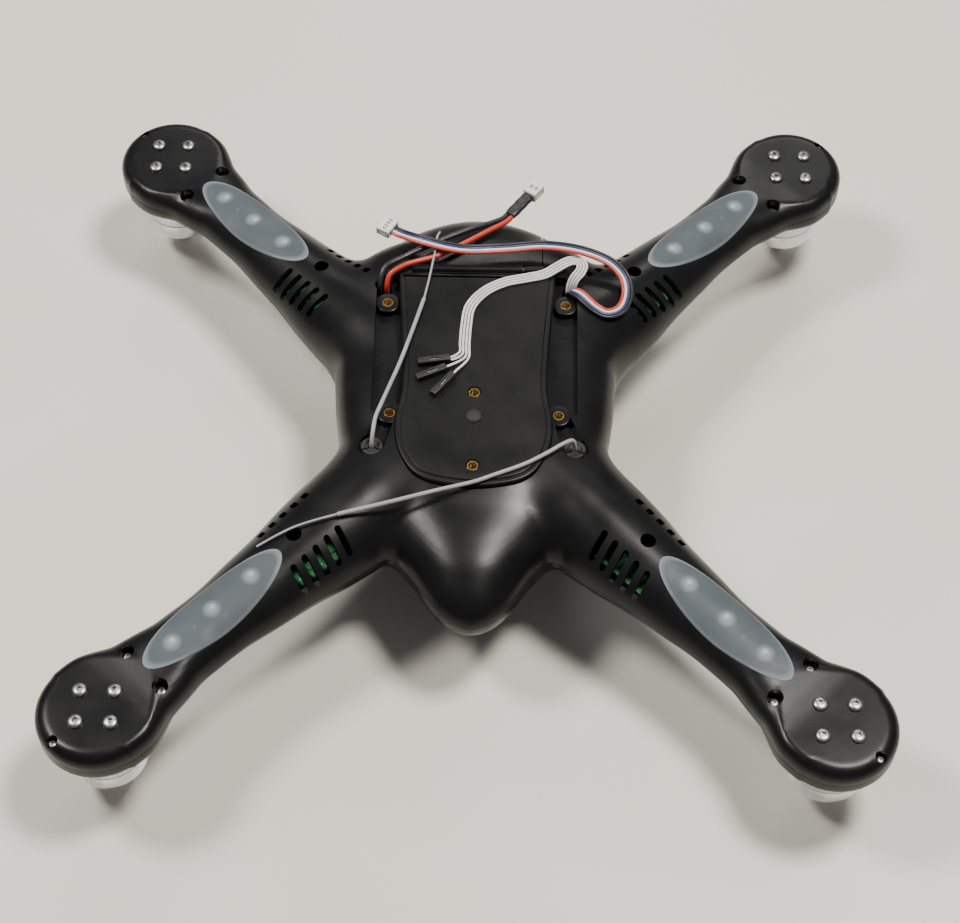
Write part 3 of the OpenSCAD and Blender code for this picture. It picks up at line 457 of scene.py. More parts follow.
def finished(made, surface, body, node=None, angle=32):
    """Shades a piece, gives it its surface, hangs it on the body it rides on and hides the CAD part it stands
    for.
    """
    if surface:
        made.data.materials.clear()
        made.data.materials.append(surface.material)
    made.data.shade_smooth()
    made.data.set_sharp_from_angle(angle=math.radians(angle))
    if body:
        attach(made, body)
    if node:
        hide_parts(*([node] if isinstance(node, str) else node))
    return made


def ring_loft(name, rings, closed=False):
    """A skin through rings of points, capped at both ends unless the row of rings is closed."""
    count, size = len(rings), len(rings[0])
    points = [p for ring in rings for p in ring]
    faces = []
    for j in range(count if closed else count - 1):
        for i in range(size):
            a = j * size + i
            b = j * size + (i + 1) % size
            c = ((j + 1) % count) * size + (i + 1) % size
            d = ((j + 1) % count) * size + i
            faces.append((a, b, c, d))
    if not closed:
        faces.append(tuple(range(size)))
        faces.append(tuple(reversed(range((count - 1) * size, count * size))))
    return from_points(name, points, faces)


def rounded(points, radius, steps=4, closed=True):
    """The outline with every corner rounded by up to radius. A radius may be given for each point."""
    count = len(points)
    radii = radius if isinstance(radius, (list, tuple)) else [radius] * count
    made = []
    for i, p in enumerate(points):
        p = np.array(p, float)
        if not closed and i in (0, count - 1):
            made.append(tuple(p))
            continue
        before = np.array(points[i - 1], float) - p
        after = np.array(points[(i + 1) % count], float) - p
        reach_before = min(radii[i], 0.48 * np.linalg.norm(before))
        reach_after = min(radii[i], 0.48 * np.linalg.norm(after))
        a = p + before / max(np.linalg.norm(before), 1e-9) * reach_before
        b = p + after / max(np.linalg.norm(after), 1e-9) * reach_after
        for k in range(steps + 1):
            t = k / steps
            made.append(tuple((1 - t) ** 2 * a + 2 * t * (1 - t) * p + t * t * b))
    return made


def inset(outline, distance):
    """The outline moved inwards, for one that runs anticlockwise."""
    p = np.array(outline, float)
    ahead = np.roll(p, -1, 0) - p
    behind = p - np.roll(p, 1, 0)
    ahead /= np.linalg.norm(ahead, axis=1)[:, None] + 1e-12
    behind /= np.linalg.norm(behind, axis=1)[:, None] + 1e-12
    along = ahead + behind
    along /= np.linalg.norm(along, axis=1)[:, None] + 1e-12
    inward = np.stack([-along[:, 1], along[:, 0]], 1)
    return p + inward * distance


def anticlockwise(outline):
    p = np.array(outline, float)
    q = np.roll(p, -1, 0)
    area = np.sum(p[:, 0] * q[:, 1] - q[:, 0] * p[:, 1])
    return p if area > 0 else p[::-1]


def slab(name, outline, z0, z1, edge=0.0, steps=4):
    """A flat plate with its upper edge rounded by edge."""
    outline = anticlockwise(outline)
    rings = [[(x, y, z0) for x, y in outline]]
    if edge <= 0:
        rings.append([(x, y, z1) for x, y in outline])
    else:
        for k in range(steps + 1):
            a = math.pi / 2 * k / steps
            moved = inset(outline, edge * (1 - math.cos(a)))
            rings.append([(x, y, z1 - edge + edge * math.sin(a)) for x, y in moved])
    return ring_loft(name, rings)


def lathe(name, profile, at=(0, 0), segments=96):
    """A profile of (radius, height) points turned about a vertical axis."""
    rings = []
    for k in range(segments):
        a = 2 * math.pi * k / segments
        rings.append([(at[0] + r * math.cos(a), at[1] + r * math.sin(a), z) for r, z in profile])
    made = ring_loft(name, rings, closed=True)
    weld(made)
    return made


def weld(made, distance=0.00001):
    shape = bmesh.new()
    shape.from_mesh(made.data)
    bmesh.ops.remove_doubles(shape, verts=shape.verts, dist=distance)
    bmesh.ops.dissolve_degenerate(shape, edges=shape.edges, dist=distance / 10)
    bmesh.ops.recalc_face_normals(shape, faces=shape.faces)
    shape.to_mesh(made.data)
    shape.free()


def cylinder(name, radius, z0, z1, at=(0, 0), segments=32):
    ring = [(at[0] + radius * math.cos(2 * math.pi * k / segments),
             at[1] + radius * math.sin(2 * math.pi * k / segments)) for k in range(segments)]
    return slab(name, ring, z0, z1)


def block(name, low, high, edge=0.0, segments=3):
    """A box from its lowest to its highest corner, with rounded edges."""
    low, high = Vector(low) * MM, Vector(high) * MM
    shape = bmesh.new()
    bmesh.ops.create_cube(shape, size=1)
    for v in shape.verts:
        v.co = Vector(low[i] + (v.co[i] + 0.5) * (high[i] - low[i]) for i in range(3))
    if edge > 0:
        bmesh.ops.bevel(
            shape, geom=shape.edges[:], offset=edge * MM, segments=segments, profile=0.5, affect="EDGES"
        )
    return from_bmesh(name, shape)


def placed(made, matrix):
    made.data.transform(matrix)
    if matrix.determinant() < 0:
        made.data.flip_normals()
    return made


def arm_matrix(corner):
    """From an arm's own frame to the airframe's. The arm's X runs from the motor to the middle."""
    side, end = side_of(corner), end_of(corner)
    turn = Matrix.Rotation(math.radians(-45 * end), 4, "Z")
    place = Matrix.Translation((-MOTOR_X * MM, end * MOTOR_X * MM, 0)) @ turn
    if side > 0:
        return Matrix.Diagonal((-1, 1, 1, 1)) @ place
    return place


def motor_matrix(corner):
    return Matrix.Translation((side_of(corner) * MOTOR_X * MM, end_of(corner) * MOTOR_X * MM, 0))


def copies(name, made, matrices):
    """One mesh holding a copy of the made one at each place."""
    parts = []
    for k, matrix in enumerate(matrices):
        part = add_object(f"{name}_{k}", made.data.copy())
        parts.append(placed(part, matrix))
    remove(made)
    return joined(name, parts)


# ---- The outer form: body, arms and pods run together by a smooth union ----


def smooth_curve(xs, ys):
    """A monotone cubic through the points."""
    xs, ys = np.array(xs, float), np.array(ys, float)
    step = np.diff(xs)
    slope = np.diff(ys) / step
    tangent = np.zeros(len(xs))
    both = slope[:-1] * slope[1:]
    total = np.where(np.abs(slope[:-1] + slope[1:]) < 1e-9, 1, slope[:-1] + slope[1:])
    tangent[1:-1] = np.where(both > 0, 2 * both / total, 0)
    tangent[0], tangent[-1] = slope[0], slope[-1]

    def at(x):
        x = np.clip(x, xs[0], xs[-1])
        k = np.clip(np.searchsorted(xs, x, side="right") - 1, 0, len(step) - 1)
        h = step[k]
        t = (x - xs[k]) / h
        return (
            (1 + 2 * t) * (1 - t) ** 2 * ys[k]
            + t * (1 - t) ** 2 * h * tangent[k]
            + t * t * (3 - 2 * t) * ys[k + 1]
            + t * t * (t - 1) * h * tangent[k + 1]
        )

    return at


# Each arm station: distance from the motor, half width, rise of the top over the pod's top,
# depth of the underside below it.
ARM_STATIONS = [
    (0, 17, 0, 14), (8, 19.4, 0, 14), (14, 18.6, 0.3, 14), (20, 17.3, 0.9, 14),
    (28, 15.9, 1.8, 14), (38, 14.2, 3, 14),
    (54, 14.3, 4.4, 15.5), (70, 15.9, 5.8, 17), (86, 17.6, 7.6, 19), (102, 20.3, 9.6, 21.5),
    (116, 21.8, 11.2, 24), (130, 22.5, 12.4, 27), (150, 22, 12.6, 32),
]
# Each body station: place along Y, half width, drop of the top below the deck,
# rise of the underside over the canopy's crown, and how square the upper edge is.
BODY_STATIONS = [
    (-92, 2, 20, 33, 2), (-90, 7, 16.5, 28.5, 2), (-86, 12, 13, 24, 2), (-80, 16.6, 10, 19.5, 2),
    (-72, 21.5, 7, 15.5, 2.1), (-62, 29, 4.8, 11.5, 2.2), (-50, 38, 3, 8, 2.4), (-38, 44.5, 0.6, 5, 2.8),
    (-18, 50.5, -0.8, 2, 3.2), (5, 54, -0.8, 0.3, 3.4), (23, 55, -0.8, 0, 3.4), (45, 54.5, -0.8, 1, 3.4),
    (60, 53, -0.2, 3, 3.2), (70, 50, 0.8, 6, 3), (76, 44.5, 1.8, 9, 2.8), (80, 38, 2.8, 12, 2.6),
    (86, 30.5, 4.8, 17, 2.5), (91, 22, 7.8, 22, 2.4), (94.5, 13, 11.5, 27, 2.3), (96.5, 3, 18, 33, 2),
]


def column(table, k):
    return [row[k] for row in table]


arm_width = smooth_curve(column(ARM_STATIONS, 0), column(ARM_STATIONS, 1))
arm_top = smooth_curve(column(ARM_STATIONS, 0), [POD_TOP_Z + v for v in column(ARM_STATIONS, 2)])
arm_under = smooth_curve(column(ARM_STATIONS, 0), [POD_TOP_Z - v for v in column(ARM_STATIONS, 3)])
body_width = smooth_curve(column(BODY_STATIONS, 0), column(BODY_STATIONS, 1))
body_top = smooth_curve(column(BODY_STATIONS, 0), [BELLY_Z - v for v in column(BODY_STATIONS, 2)])
body_under = smooth_curve(column(BODY_STATIONS, 0), [CANOPY_Z + v for v in column(BODY_STATIONS, 3)])
body_square = smooth_curve(column(BODY_STATIONS, 0), column(BODY_STATIONS, 4))
BODY_BULGE = 2.2
# The arms' sections are squarest at the pod and grow rounder towards the middle.
bulge_top = smooth_curve([8, 50], [3.2, 1.9])
bulge_under = smooth_curve([8, 50], [4, 2.2])


def section(across, z, half, top, under, n_top, n_under):
    """Roughly how far a point lies outside a bulging section, in millimetres."""
    above = z > SEAM_Z
    height = np.where(above, top - SEAM_Z, SEAM_Z - under)
    n = np.where(above, n_top, n_under)
    reach = (np.abs(across / half) ** n + np.abs((z - SEAM_Z) / height) ** n) ** (1 / n)
    return (reach - 1) * np.minimum(half, height)


def arm_field(s, t, z):
    field = section(t, z, arm_width(s), arm_top(s), arm_under(s), bulge_top(s), bulge_under(s))
    return np.maximum(field, np.maximum(-s, s - 150))


def body_field(x, y, z):
    field = section(x, z, body_width(y), body_top(y), body_under(y), body_square(y), BODY_BULGE)
    ends = np.maximum(-92 - y, y - 96.5)
    return np.maximum(np.maximum(field, ends), z - BELLY_Z)


def pod_field(x, y, z):
    """Distance to a round pod with a large radius on its upper edge and a small one below."""
    middle = (POD_TOP_Z + POD_BOTTOM_Z) / 2
    half = (POD_TOP_Z - POD_BOTTOM_Z) / 2
    edge = np.where(z > middle, 5.0, 3.0)
    out = np.hypot(x, y) - (POD_R - edge)
    up = np.abs(z - middle) - (half - edge)
    return np.minimum(np.maximum(out, up), 0) + np.hypot(np.maximum(out, 0), np.maximum(up, 0)) - edge


NO_LIMIT = -1000.0


def smooth_union(a, b, reach):
    h = np.maximum(reach - np.abs(a - b), 0) / reach
    return np.minimum(a, b) - h * h * reach / 4


def quarter_field(xs, ys, zs, end):
    """The outer form's field over one quarter of the airframe, on the left side."""
    x, y, z = np.meshgrid(xs, ys, zs, indexing="ij")
    from_motor = (x + MOTOR_X, (y - end * MOTOR_X) * -end)
    s = (from_motor[0] + from_motor[1]) / math.sqrt(2)
    t = (from_motor[0] - from_motor[1]) / math.sqrt(2)
    arm = arm_field(s, t, z)
    pod = pod_field(x + MOTOR_X, y - end * MOTOR_X, z)
    limb = smooth_union(arm, pod, 5.0)
    beyond = np.maximum(z - arm_top(s), arm_under(s) - z)
    limb = np.maximum(limb, np.where(s < 40, beyond, NO_LIMIT))
    whole = smooth_union(body_field(x, y, z), limb, 5.0)
    return np.maximum(whole, z - BELLY_Z)


def whole_field(step):
    """The field over the whole airframe, built from its two left quarters."""
    reach = MOTOR_X + POD_R + 3
    count = int(math.ceil(reach / step))
    half = np.arange(-count, 1) * step
    zs = np.arange(CANOPY_Z - 3, BELLY_Z + 3 + step, step)
    front = quarter_field(half, half, zs, -1)
    rear = quarter_field(half, -half[::-1], zs, 1)
    left = np.concatenate([front, rear[:, 1:]], 1)
    whole = np.concatenate([left, left[-2::-1]], 0)
    return whole, np.array([half[0], half[0], zs[0]])


def skin(name, field, corner, step, level=0.0):
    """The surface where the field has one value, as a closed mesh."""
    grid = openvdb.FloatGrid(5.0)
    grid.copyFromArray(np.ascontiguousarray(field, np.float32))
    points, quads = grid.convertToQuads(level)
    points = corner + points * step
    made = from_points(name, points, [tuple(int(i) for i in q) for q in quads])
    return made


SKIN_STEP = 1.0
HOLLOW_STEP = 1.6
outer_values, outer_corner = whole_field(SKIN_STEP)
outer = skin("outer_form", outer_values, outer_corner, SKIN_STEP)
hollow_values, hollow_corner = whole_field(HOLLOW_STEP)
levels = hollow_corner[2] + np.arange(hollow_values.shape[2]) * HOLLOW_STEP
hollow_values = np.maximum(hollow_values + WALL, (levels - DECK_UNDER_Z)[None, None, :])
hollow = skin("hollow_form", hollow_values, hollow_corner, HOLLOW_STEP)


def arm_surface(s, t):
    """Height of the arm's top surface."""
    share = np.clip(np.abs(t / arm_width(s)), 0, 1)
    bulge = bulge_top(s)
    return SEAM_Z + (arm_top(s) - SEAM_Z) * (1 - share ** bulge) ** (1 / bulge)


# ---- Cutters for the shells ----

FAR = 400.0
PLATE_OUTLINE = [
    (0, -44.8), (-21.5, -40.5), (-28.8, -27), (-30, -14), (-27.2, 0), (-28.2, 20), (-31, 57.2),
    (31, 57.2), (28.2, 20), (27.2, 0), (30, -14), (28.8, -27), (21.5, -40.5),
]
plate_edge = rounded(PLATE_OUTLINE, [14, 9, 6, 8, 8, 8, 3, 3, 8, 8, 8, 6, 9], 6)


def circle(x, y, radius, count=32, start=0.0, stop=360.0):
    turn = [math.radians(start + (stop - start) * k / count) for k in range(count)]
    return [(x + radius * math.cos(a), y + radius * math.sin(a)) for a in turn]


def channel_outlines(side):
    inner = 26.0
    trough = rounded([(inner, 57), (39.5, 57), (39.1, -9), (inner, -13)], [1, 2, 1, 1])
    ring = circle(*FRONT_INSERT, 4.7, 24, 70, 250) + circle(*GROMMET, 5.2, 24, 200, 430)
    return [[(side * x, y) for x, y in trough], [(side * x, y) for x, y in ring]]


def arm_cutters(corner):
    """Lens opening, vents and screw wells of one arm, none touching another."""
    top = BELLY_Z + 5
    lens = [(LENS_MIDDLE + LENS_HALF * math.cos(a), LENS_HALF_W * math.sin(a))
            for a in np.linspace(0, 2 * math.pi, 96, endpoint=False)]
    made = [slab("lens_cut", lens, SEAM_Z + 5, top)]
    for i in range(VENT_COUNT):
        s = VENT_START + i * VENT_PITCH
        slot = circle(s - 1.6, -8, 1.3, 8, 11, 191) + circle(s - 3.1, -15.5, 1.3, 8, 191, 371)
        made.append(slab("vent_cut", slot, SEAM_Z + 5.5, top))
        square = [(s - 1.4, 11), (s + 1.4, 11), (s + 1.4, 13.8), (s - 1.4, 13.8)]
        made.append(slab("vent_cut", rounded(square, 0.5, 3), SEAM_Z + 7, top))
    for t in (-NECK_SCREW[1], NECK_SCREW[1]):
        made.append(cylinder("well_cut", WELL_R, WELL_FLOOR_Z, top, (NECK_SCREW[0], t)))
    made.append(cylinder("well_cut", WELL_R, WELL_FLOOR_Z, top, ARM_SCREW))
    made.append(cylinder("well_cut", RIM_WELL_R, RIM_FLOOR_Z, top, (-RIM_SCREW, 0)))
    matrix = arm_matrix(corner)
    return [placed(o, matrix) for o in made]


shell_screw_places = [NECK_SCREW, (NECK_SCREW[0], -NECK_SCREW[1]), ARM_SCREW]


def screw_bosses():
    """The columns that the shell screws and rim screws stand in, trimmed to the outer form."""
    columns = []
    for corner in CORNERS:
        wells = [(place, BOSS_R) for place in shell_screw_places] + [((-RIM_SCREW, 0), RIM_BOSS_R)]
        for place, radius in wells:
            boss = cylinder("boss", radius, SEAM_Z + SEAM_LINE / 2, BELLY_Z, place)
            columns.append(placed(boss, arm_matrix(corner)))
    return boolean(joined("bosses", columns), outer, "INTERSECT", keep=True)


def half_space(name, z0, z1):
    return block(name, (-FAR, -FAR, z0), (FAR, FAR, z1))


def door_box(name, gap):
    low = (-DOOR_HALF - gap, HINGE_Y - KNUCKLE_R - gap, DOOR_BOTTOM_Z - gap)
    return block(name, low, (DOOR_HALF + gap, 120, 100))


def knuckle(name, x0, x1, radius):
    ring = circle(HINGE_Y, HINGE_Z, radius)
    rings = [[(x, y, z) for y, z in ring] for x in (x0, x1)]
    return ring_loft(name, rings)


SEAM_LINE = 0.22


def make_lower_shell():
    made = add_object("lower_shell_skin", outer.data.copy())
    cut(made, half_space("cut", SEAM_Z - 100, SEAM_Z + SEAM_LINE / 2))
    boolean(made, hollow, "DIFFERENCE", keep=True)
    cut(made, door_box("cut", DOOR_GAP))
    for side in (-1, 1):
        for outline in channel_outlines(side):
            grown = inset(anticlockwise(outline), -WALL)
            trough = slab("trough", grown, CHANNEL_Z - WALL, BELLY_Z - 1.2)
            boolean(trough, outer, "INTERSECT", keep=True)
            boolean(made, trough, "UNION")
    plate_core = slab("plate_core", inset(anticlockwise(plate_edge), 0.15), 0, 200)
    for side in (-1, 1):
        for outline in channel_outlines(side):
            channel = slab("channel", outline, CHANNEL_Z, BELLY_Z + 5)
            boolean(channel, plate_core, "DIFFERENCE", keep=True)
            boolean(made, channel, "DIFFERENCE")
    remove(plate_core)
    cut(made, slab("recess", inset(anticlockwise(plate_edge), -0.2), PLATE_LOW[2], BELLY_Z + 5))
    for side in (-1, 1):
        for place in (REAR_INSERT, FRONT_INSERT):
            at = (side * place[0], place[1])
            low, high = CHANNEL_Z - 1, CHANNEL_Z + 3
            profile = rounded([(0, low), (4.7, low), (4.7, high), (0, high)], [0, 0, 0.5, 0])
            boolean(made, lathe("boss", profile, at, 48), "UNION")
    boolean(made, screw_bosses(), "UNION")
    holes = []
    for side in (-1, 1):
        for place, radius in (
            (REAR_INSERT, INSERT_HOLE_R), (FRONT_INSERT, INSERT_HOLE_R), (GROMMET, 3.0), (LEAD_HOLE, 3.4)
        ):
            at = (side * place[0], place[1])
            holes.append(cylinder("hole", radius, CHANNEL_Z - 10, CHANNEL_Z + 10, at))
    for y in CENTRE_INSERTS:
        holes.append(cylinder("hole", INSERT_HOLE_R, DECK_UNDER_Z - 5, BELLY_Z + 5, (0, y)))
    for corner in CORNERS:
        holes += arm_cutters(corner)
    cut(made, joined("holes", holes))
    for side in (-1, 1):
        inner, outer_x = 18.4, DOOR_HALF + DOOR_GAP + 0.2
        x0, x1 = sorted((side * inner, side * outer_x))
        lug_low = (x0, HINGE_Y - KNUCKLE_R - DOOR_GAP - 1, HINGE_Z - KNUCKLE_R)
        lug = block("lug", lug_low, (x1, HINGE_Y, HINGE_Z))
        boolean(lug, knuckle("knuckle", x0, x1, KNUCKLE_R), "UNION")
        boolean(made, lug, "UNION")
    cut(made, knuckle("bore", -40, 40, 1.0))
    return made


def make_upper_shell():
    made = add_object("upper_shell_skin", outer.data.copy())
    cut(made, half_space("cut", SEAM_Z - SEAM_LINE / 2, SEAM_Z + 100))
    boolean(made, hollow, "DIFFERENCE", keep=True)
    cut(made, door_box("cut", DOOR_GAP))
    cut(made, block("slot", (47, 2, SEAM_Z - 3), (67, 13, SEAM_Z - 1.4), 0.4))
    holes = []
    for corner in CORNERS:
        hole = cylinder("hole", 5.0, POD_BOTTOM_Z - 1, POD_BOTTOM_Z + 3)
        holes.append(placed(hole, motor_matrix(corner)))
    cut(made, joined("holes", holes))
    return made


def make_battery_door():
    made = add_object("battery_door_skin", outer.data.copy())
    boolean(made, block("keep", (-DOOR_HALF, HINGE_Y, DOOR_BOTTOM_Z), (DOOR_HALF, 120, 100)), "INTERSECT")
    boolean(made, hollow, "DIFFERENCE", keep=True)
    boolean(made, knuckle("knuckle", -18, 18, KNUCKLE_R), "UNION")
    reach = KNUCKLE_R + DOOR_GAP
    for side in (-1, 1):
        x0, x1 = sorted((side * 18, side * 60))
        cut(made, block("notch", (x0, HINGE_Y - reach, 0), (x1, HINGE_Y + reach, 100)))
    cut(made, knuckle("bore", -40, 40, 1.1))
    return made


finished(make_lower_shell(), SHELL, "airframe", "lower_shell", 28)
finished(make_upper_shell(), SHELL, "airframe", "upper_shell", 28)
finished(make_battery_door(), SHELL, "battery_door_body", "battery_door", 28)
remove(outer, hollow)


# ---- Belly plate, inserts, grommets ----


def make_belly_plate():
    top = PLATE_HIGH[2]
    made = slab("belly_plate_skin", plate_edge, PLATE_LOW[2], top - 0.5, 0.9)
    raised_edge = inset(anticlockwise(plate_edge), 2.2)
    boolean(made, slab("raised", raised_edge, top - 1.5, top, 0.45), "UNION")
    for y in CENTRE_INSERTS:
        cut(made, cylinder("hole", 2.3, PLATE_LOW[2] - 1, top + 1, (0, y)))
        cone = [(0, top - 0.4), (2.3, top - 0.4), (3.0, top + 0.3), (0, top + 0.3)]
        cut(made, lathe("cone", cone, (0, y), 32))
    return made


def knurled_insert(name, z0, z1):
    """A brass insert with a knurled outside and ridges of thread in its bore."""
    segments = 48
    profile = [
        (2.1, z0), (2.3, z0 + 0.3), (2.3, z1 - 0.9), (2.12, z1 - 0.8), (2.12, z1 - 0.1),
        (2.0, z1), (1.75, z1),
    ]
    z = z1 - 0.3
    while z > z0 + 0.5:
        profile += [(1.5, z), (1.62, z - 0.25)]
        z -= 0.5
    profile += [(1.62, z0)]
    rings = []
    for k in range(segments):
        a = 2 * math.pi * k / segments
        ridge = 0.09 if k % 2 else 0.0
        ring = []
        for i, (r, z) in enumerate(profile):
            own = r - ridge if i < 3 else r
            ring.append((own * math.cos(a), own * math.sin(a), z))
        rings.append(ring)
    return ring_loft(name, rings, closed=True)


def make_grommet(node):
    low, high = node_box(node)
    x, y = (low[:2] + high[:2]) / 2
    z0, z1 = low[2], high[2]
    profile = [
        (0.9, z0), (3.0, z0), (3.0, CHANNEL_Z), (4.2, CHANNEL_Z), (4.2, z1), (2.9, z1), (2.4, z1 - 0.5),
        (0.9, z1 - 0.6),
    ]
    made = lathe(node + "_skin", rounded(profile, [0, 0.3, 0, 0.2, 0.8, 0.4, 0.3, 0.2]), (x, y), 64)
    for k in range(3):
        slot = block("slot", (0.9, -0.3, z1 - 1.2), (5, 0.3, z1 + 1))
        turn = Matrix.Translation((x * MM, y * MM, 0)) @ Matrix.Rotation(math.radians(90 + 120 * k), 4, "Z")
        cut(made, placed(slot, turn))
    return finished(made, RUBBER, "airframe", node)


finished(make_belly_plate(), BELLY, "airframe", "belly_plate", 30)
insert_low, insert_high = node_box("corner_inserts")
corner_places = []
for side in (-1, 1):
    for x, y in (REAR_INSERT, FRONT_INSERT):
        corner_places.append(Matrix.Translation((side * x * MM, y * MM, 0)))
corner_insert = knurled_insert("insert", insert_low[2], insert_high[2])
corner_inserts = copies("corner_inserts_skin", corner_insert, corner_places)
finished(corner_inserts, BRASS, "airframe", "corner_inserts", 25)
centre_low, centre_high = node_box("centre_inserts")
centre_places = [Matrix.Translation((0, y * MM, 0)) for y in CENTRE_INSERTS]
centre_insert = knurled_insert("insert", centre_low[2], centre_high[2])
centre_inserts = copies("centre_inserts_skin", centre_insert, centre_places)
finished(centre_inserts, BRASS, "airframe", "centre_inserts", 25)
for grommet in ("antenna_grommet_left", "antenna_grommet_right"):
    make_grommet(grommet)

bump_low, bump_high = node_box("centre_bump")
bump_at = (bump_low[:2] + bump_high[:2]) / 2
bump_r, bump_h = (bump_high[0] - bump_low[0]) / 2, bump_high[2] - bump_low[2]
dome = [(bump_r * math.sin(a), bump_low[2] + bump_h * math.cos(a)) for a in np.linspace(0, math.pi / 2, 9)]
bump = lathe("centre_bump_skin", dome + [(0, bump_low[2])], bump_at, 48)
finished(bump, RUBBER, "airframe", "centre_bump", 40)


# ---- Lenses ----


def make_lens(corner):
    """A frosted lens that follows the arm's top, with a raised border."""
    rings, turns = 14, 96
    points, lens_uv = [], []
    thickness = 1.6
    for under in (False, True):
        for j in range(rings + 1):
            share = j / rings
            for k in range(turns):
                a = 2 * math.pi * k / turns
                u, v = share * math.cos(a), share * math.sin(a)
                s = LENS_MIDDLE + u * (LENS_HALF - 0.15)
                t = v * (LENS_HALF_W - 0.15)
                border = 0.22 * math.exp(-((share - 0.95) / 0.05) ** 2) - 0.25 * max(0, share - 0.96) / 0.04
                z = float(arm_surface(s, t)) + (-thickness if under else 0.18 + border)
                points.append((s, t, z))
                lens_uv.append((u, v))
    size = (rings + 1) * turns
    faces = []
    for layer in (0, size):
        for j in range(rings):
            for k in range(turns):
                a, b = layer + j * turns + k, layer + j * turns + (k + 1) % turns
                faces.append((a, b, b + turns, a + turns) if layer else (a, a + turns, b + turns, b))
    rim = rings * turns
    for k in range(turns):
        a, b = rim + k, rim + (k + 1) % turns
        faces.append((a, a + size, b + size, b))
    made = from_points(f"lens_{corner}_skin", points, faces)
    layer = made.data.uv_layers.new(name="lens")
    for loop in made.data.loops:
        layer.data[loop.index].uv = lens_uv[loop.vertex_index]
    placed(made, arm_matrix(corner))
    weld(made)
    return finished(made, LENS, "airframe", f"lens_{corner}", 50)


for corner in CORNERS:
    make_lens(corner)


# ---- Screws ----


def socket_screw(name, head_r, head_h, socket_r, shank_r, length, dome=0.75):
    """A button-head screw with a hexagonal socket, its head standing on Z = 0."""
    curve = [(head_r * math.cos(a) ** dome, head_h * 0.25 + head_h * 0.75 * math.sin(a))
             for a in np.linspace(0, math.pi / 2 - 0.02, 9)]
    profile = [(0, -length), (shank_r, -length), (shank_r, 0), (head_r, 0)] + curve + [(0, head_h)]
    made = lathe(name, profile, (0, 0), 40)
    cut(made, slab("socket", circle(0, 0, socket_r, 6), head_h * 0.3, head_h + 1))
    low, high = head_h - 0.12, head_h + 0.2
    lip = [(0, low), (socket_r * 0.98, low), (socket_r + 0.2, high), (0, high)]
    return cut(made, lathe("lip", lip, (0, 0), 24))


pod_lift = Matrix.Translation((0, 0, POD_TOP_Z * MM))
motor_screw_places = []
for corner in CORNERS:
    for sx in (-1, 1):
        for sy in (-1, 1):
            offset = Matrix.Translation((sx * SCREW_SQUARE / 2 * MM, sy * SCREW_SQUARE / 2 * MM, 0))
            spin = Matrix.Rotation(math.radians(17 * (sx + 2 * sy) + 31 * side_of(corner)), 4, "Z")
            motor_screw_places.append(motor_matrix(corner) @ offset @ pod_lift @ spin)
motor_screws = copies("motor_screws_skin", socket_screw("screw", 2.8, 1.6, 1.15, 1.5, 16), motor_screw_places)
finished(motor_screws, STEEL, "airframe", "motor_screws", 30)

shell_places = []
for corner in CORNERS:
    for s, t in shell_screw_places:
        seat = Matrix.Translation((s * MM, t * MM, WELL_FLOOR_Z * MM))
        shell_places.append(arm_matrix(corner) @ seat)
shell_screws = copies("shell_screws_skin", socket_screw("screw", 2.1, 1.4, 0.9, 1.1, 8), shell_places)
finished(shell_screws, STEEL, "airframe", "shell_screws", 30)

rim_seat = Matrix.Translation((-RIM_SCREW * MM, 0, RIM_FLOOR_Z * MM))
rim_places = [arm_matrix(corner) @ rim_seat for corner in CORNERS]
rim_screws = copies("rim_screws_skin", socket_screw("screw", 1.7, 1.4, 0.8, 1.1, 8), rim_places)
finished(rim_screws, STEEL, "airframe", "rim_screws", 30)


# ---- Motors ----

BELL_WALL = 0.9
MAGNETS = 14


def make_rotor(corner):
    z0, z1 = BELL_Z0, BELL_Z1
    split = z0 + 0.44 * (z1 - z0)
    inner = BELL_R - BELL_WALL
    cap = rounded(
        [
            (2.02, z0), (5, z0), (6, z0 + 0.5), (BELL_R - 2.2, z0), (BELL_R, z0 + 1.8),
            (BELL_R, split - 0.25), (BELL_R - 0.3, split), (inner, split), (inner, z0 + 3),
            (4.1, z0 + 3), (4.1, z0 + 4.4), (2.02, z0 + 4.4),
        ],
        [0, 0.3, 0.4, 1, 1, 0.2, 0.1, 0, 0.4, 0.3, 0.3, 0],
    )
    body = f"rotor_{corner}"
    made = lathe(f"bell_{corner}_skin", cap, (0, 0), 96)
    for k in range(6):
        a0, a1 = math.radians(60 * k + 8), math.radians(60 * k + 42)
        arc = np.linspace(a0, a1, 9)
        window = [(6.6 * math.cos(a), 6.6 * math.sin(a)) for a in arc]
        window += [(10.9 * math.cos(a), 10.9 * math.sin(a)) for a in arc[::-1]]
        cut(made, slab("window", rounded(window, 0.5, 3), z0 - 1, z0 + 3.5))
    placed(made, motor_matrix(corner))
    finished(made, POLISHED, body, f"bell_{corner}", 30)
    ring_profile = rounded(
        [
            (inner, split), (BELL_R - 0.3, split), (BELL_R - 0.05, split + 0.25),
            (BELL_R - 0.05, z1 - 0.4), (BELL_R - 0.4, z1), (inner, z1),
        ],
        [0, 0, 0.1, 0.3, 0.3, 0.1],
    )
    ring = placed(lathe(f"flux_ring_{corner}", ring_profile, (0, 0), 96), motor_matrix(corner))
    finished(ring, RING_STEEL, body)
    turns = [Matrix.Rotation(2 * math.pi * k / MAGNETS, 4, "Z") for k in range(MAGNETS)]
    places = [motor_matrix(corner) @ turn for turn in turns]
    magnet = block("magnet", (inner - 1.05, -2.2, split + 0.3), (inner + 0.02, 2.2, z1 - 1), 0.25, 2)
    finished(copies(f"magnets_{corner}", magnet, places), MAGNET, body)


for corner in CORNERS:
    make_rotor(corner)


# ---- Cords: the same routes as the CAD model's, in metres ----

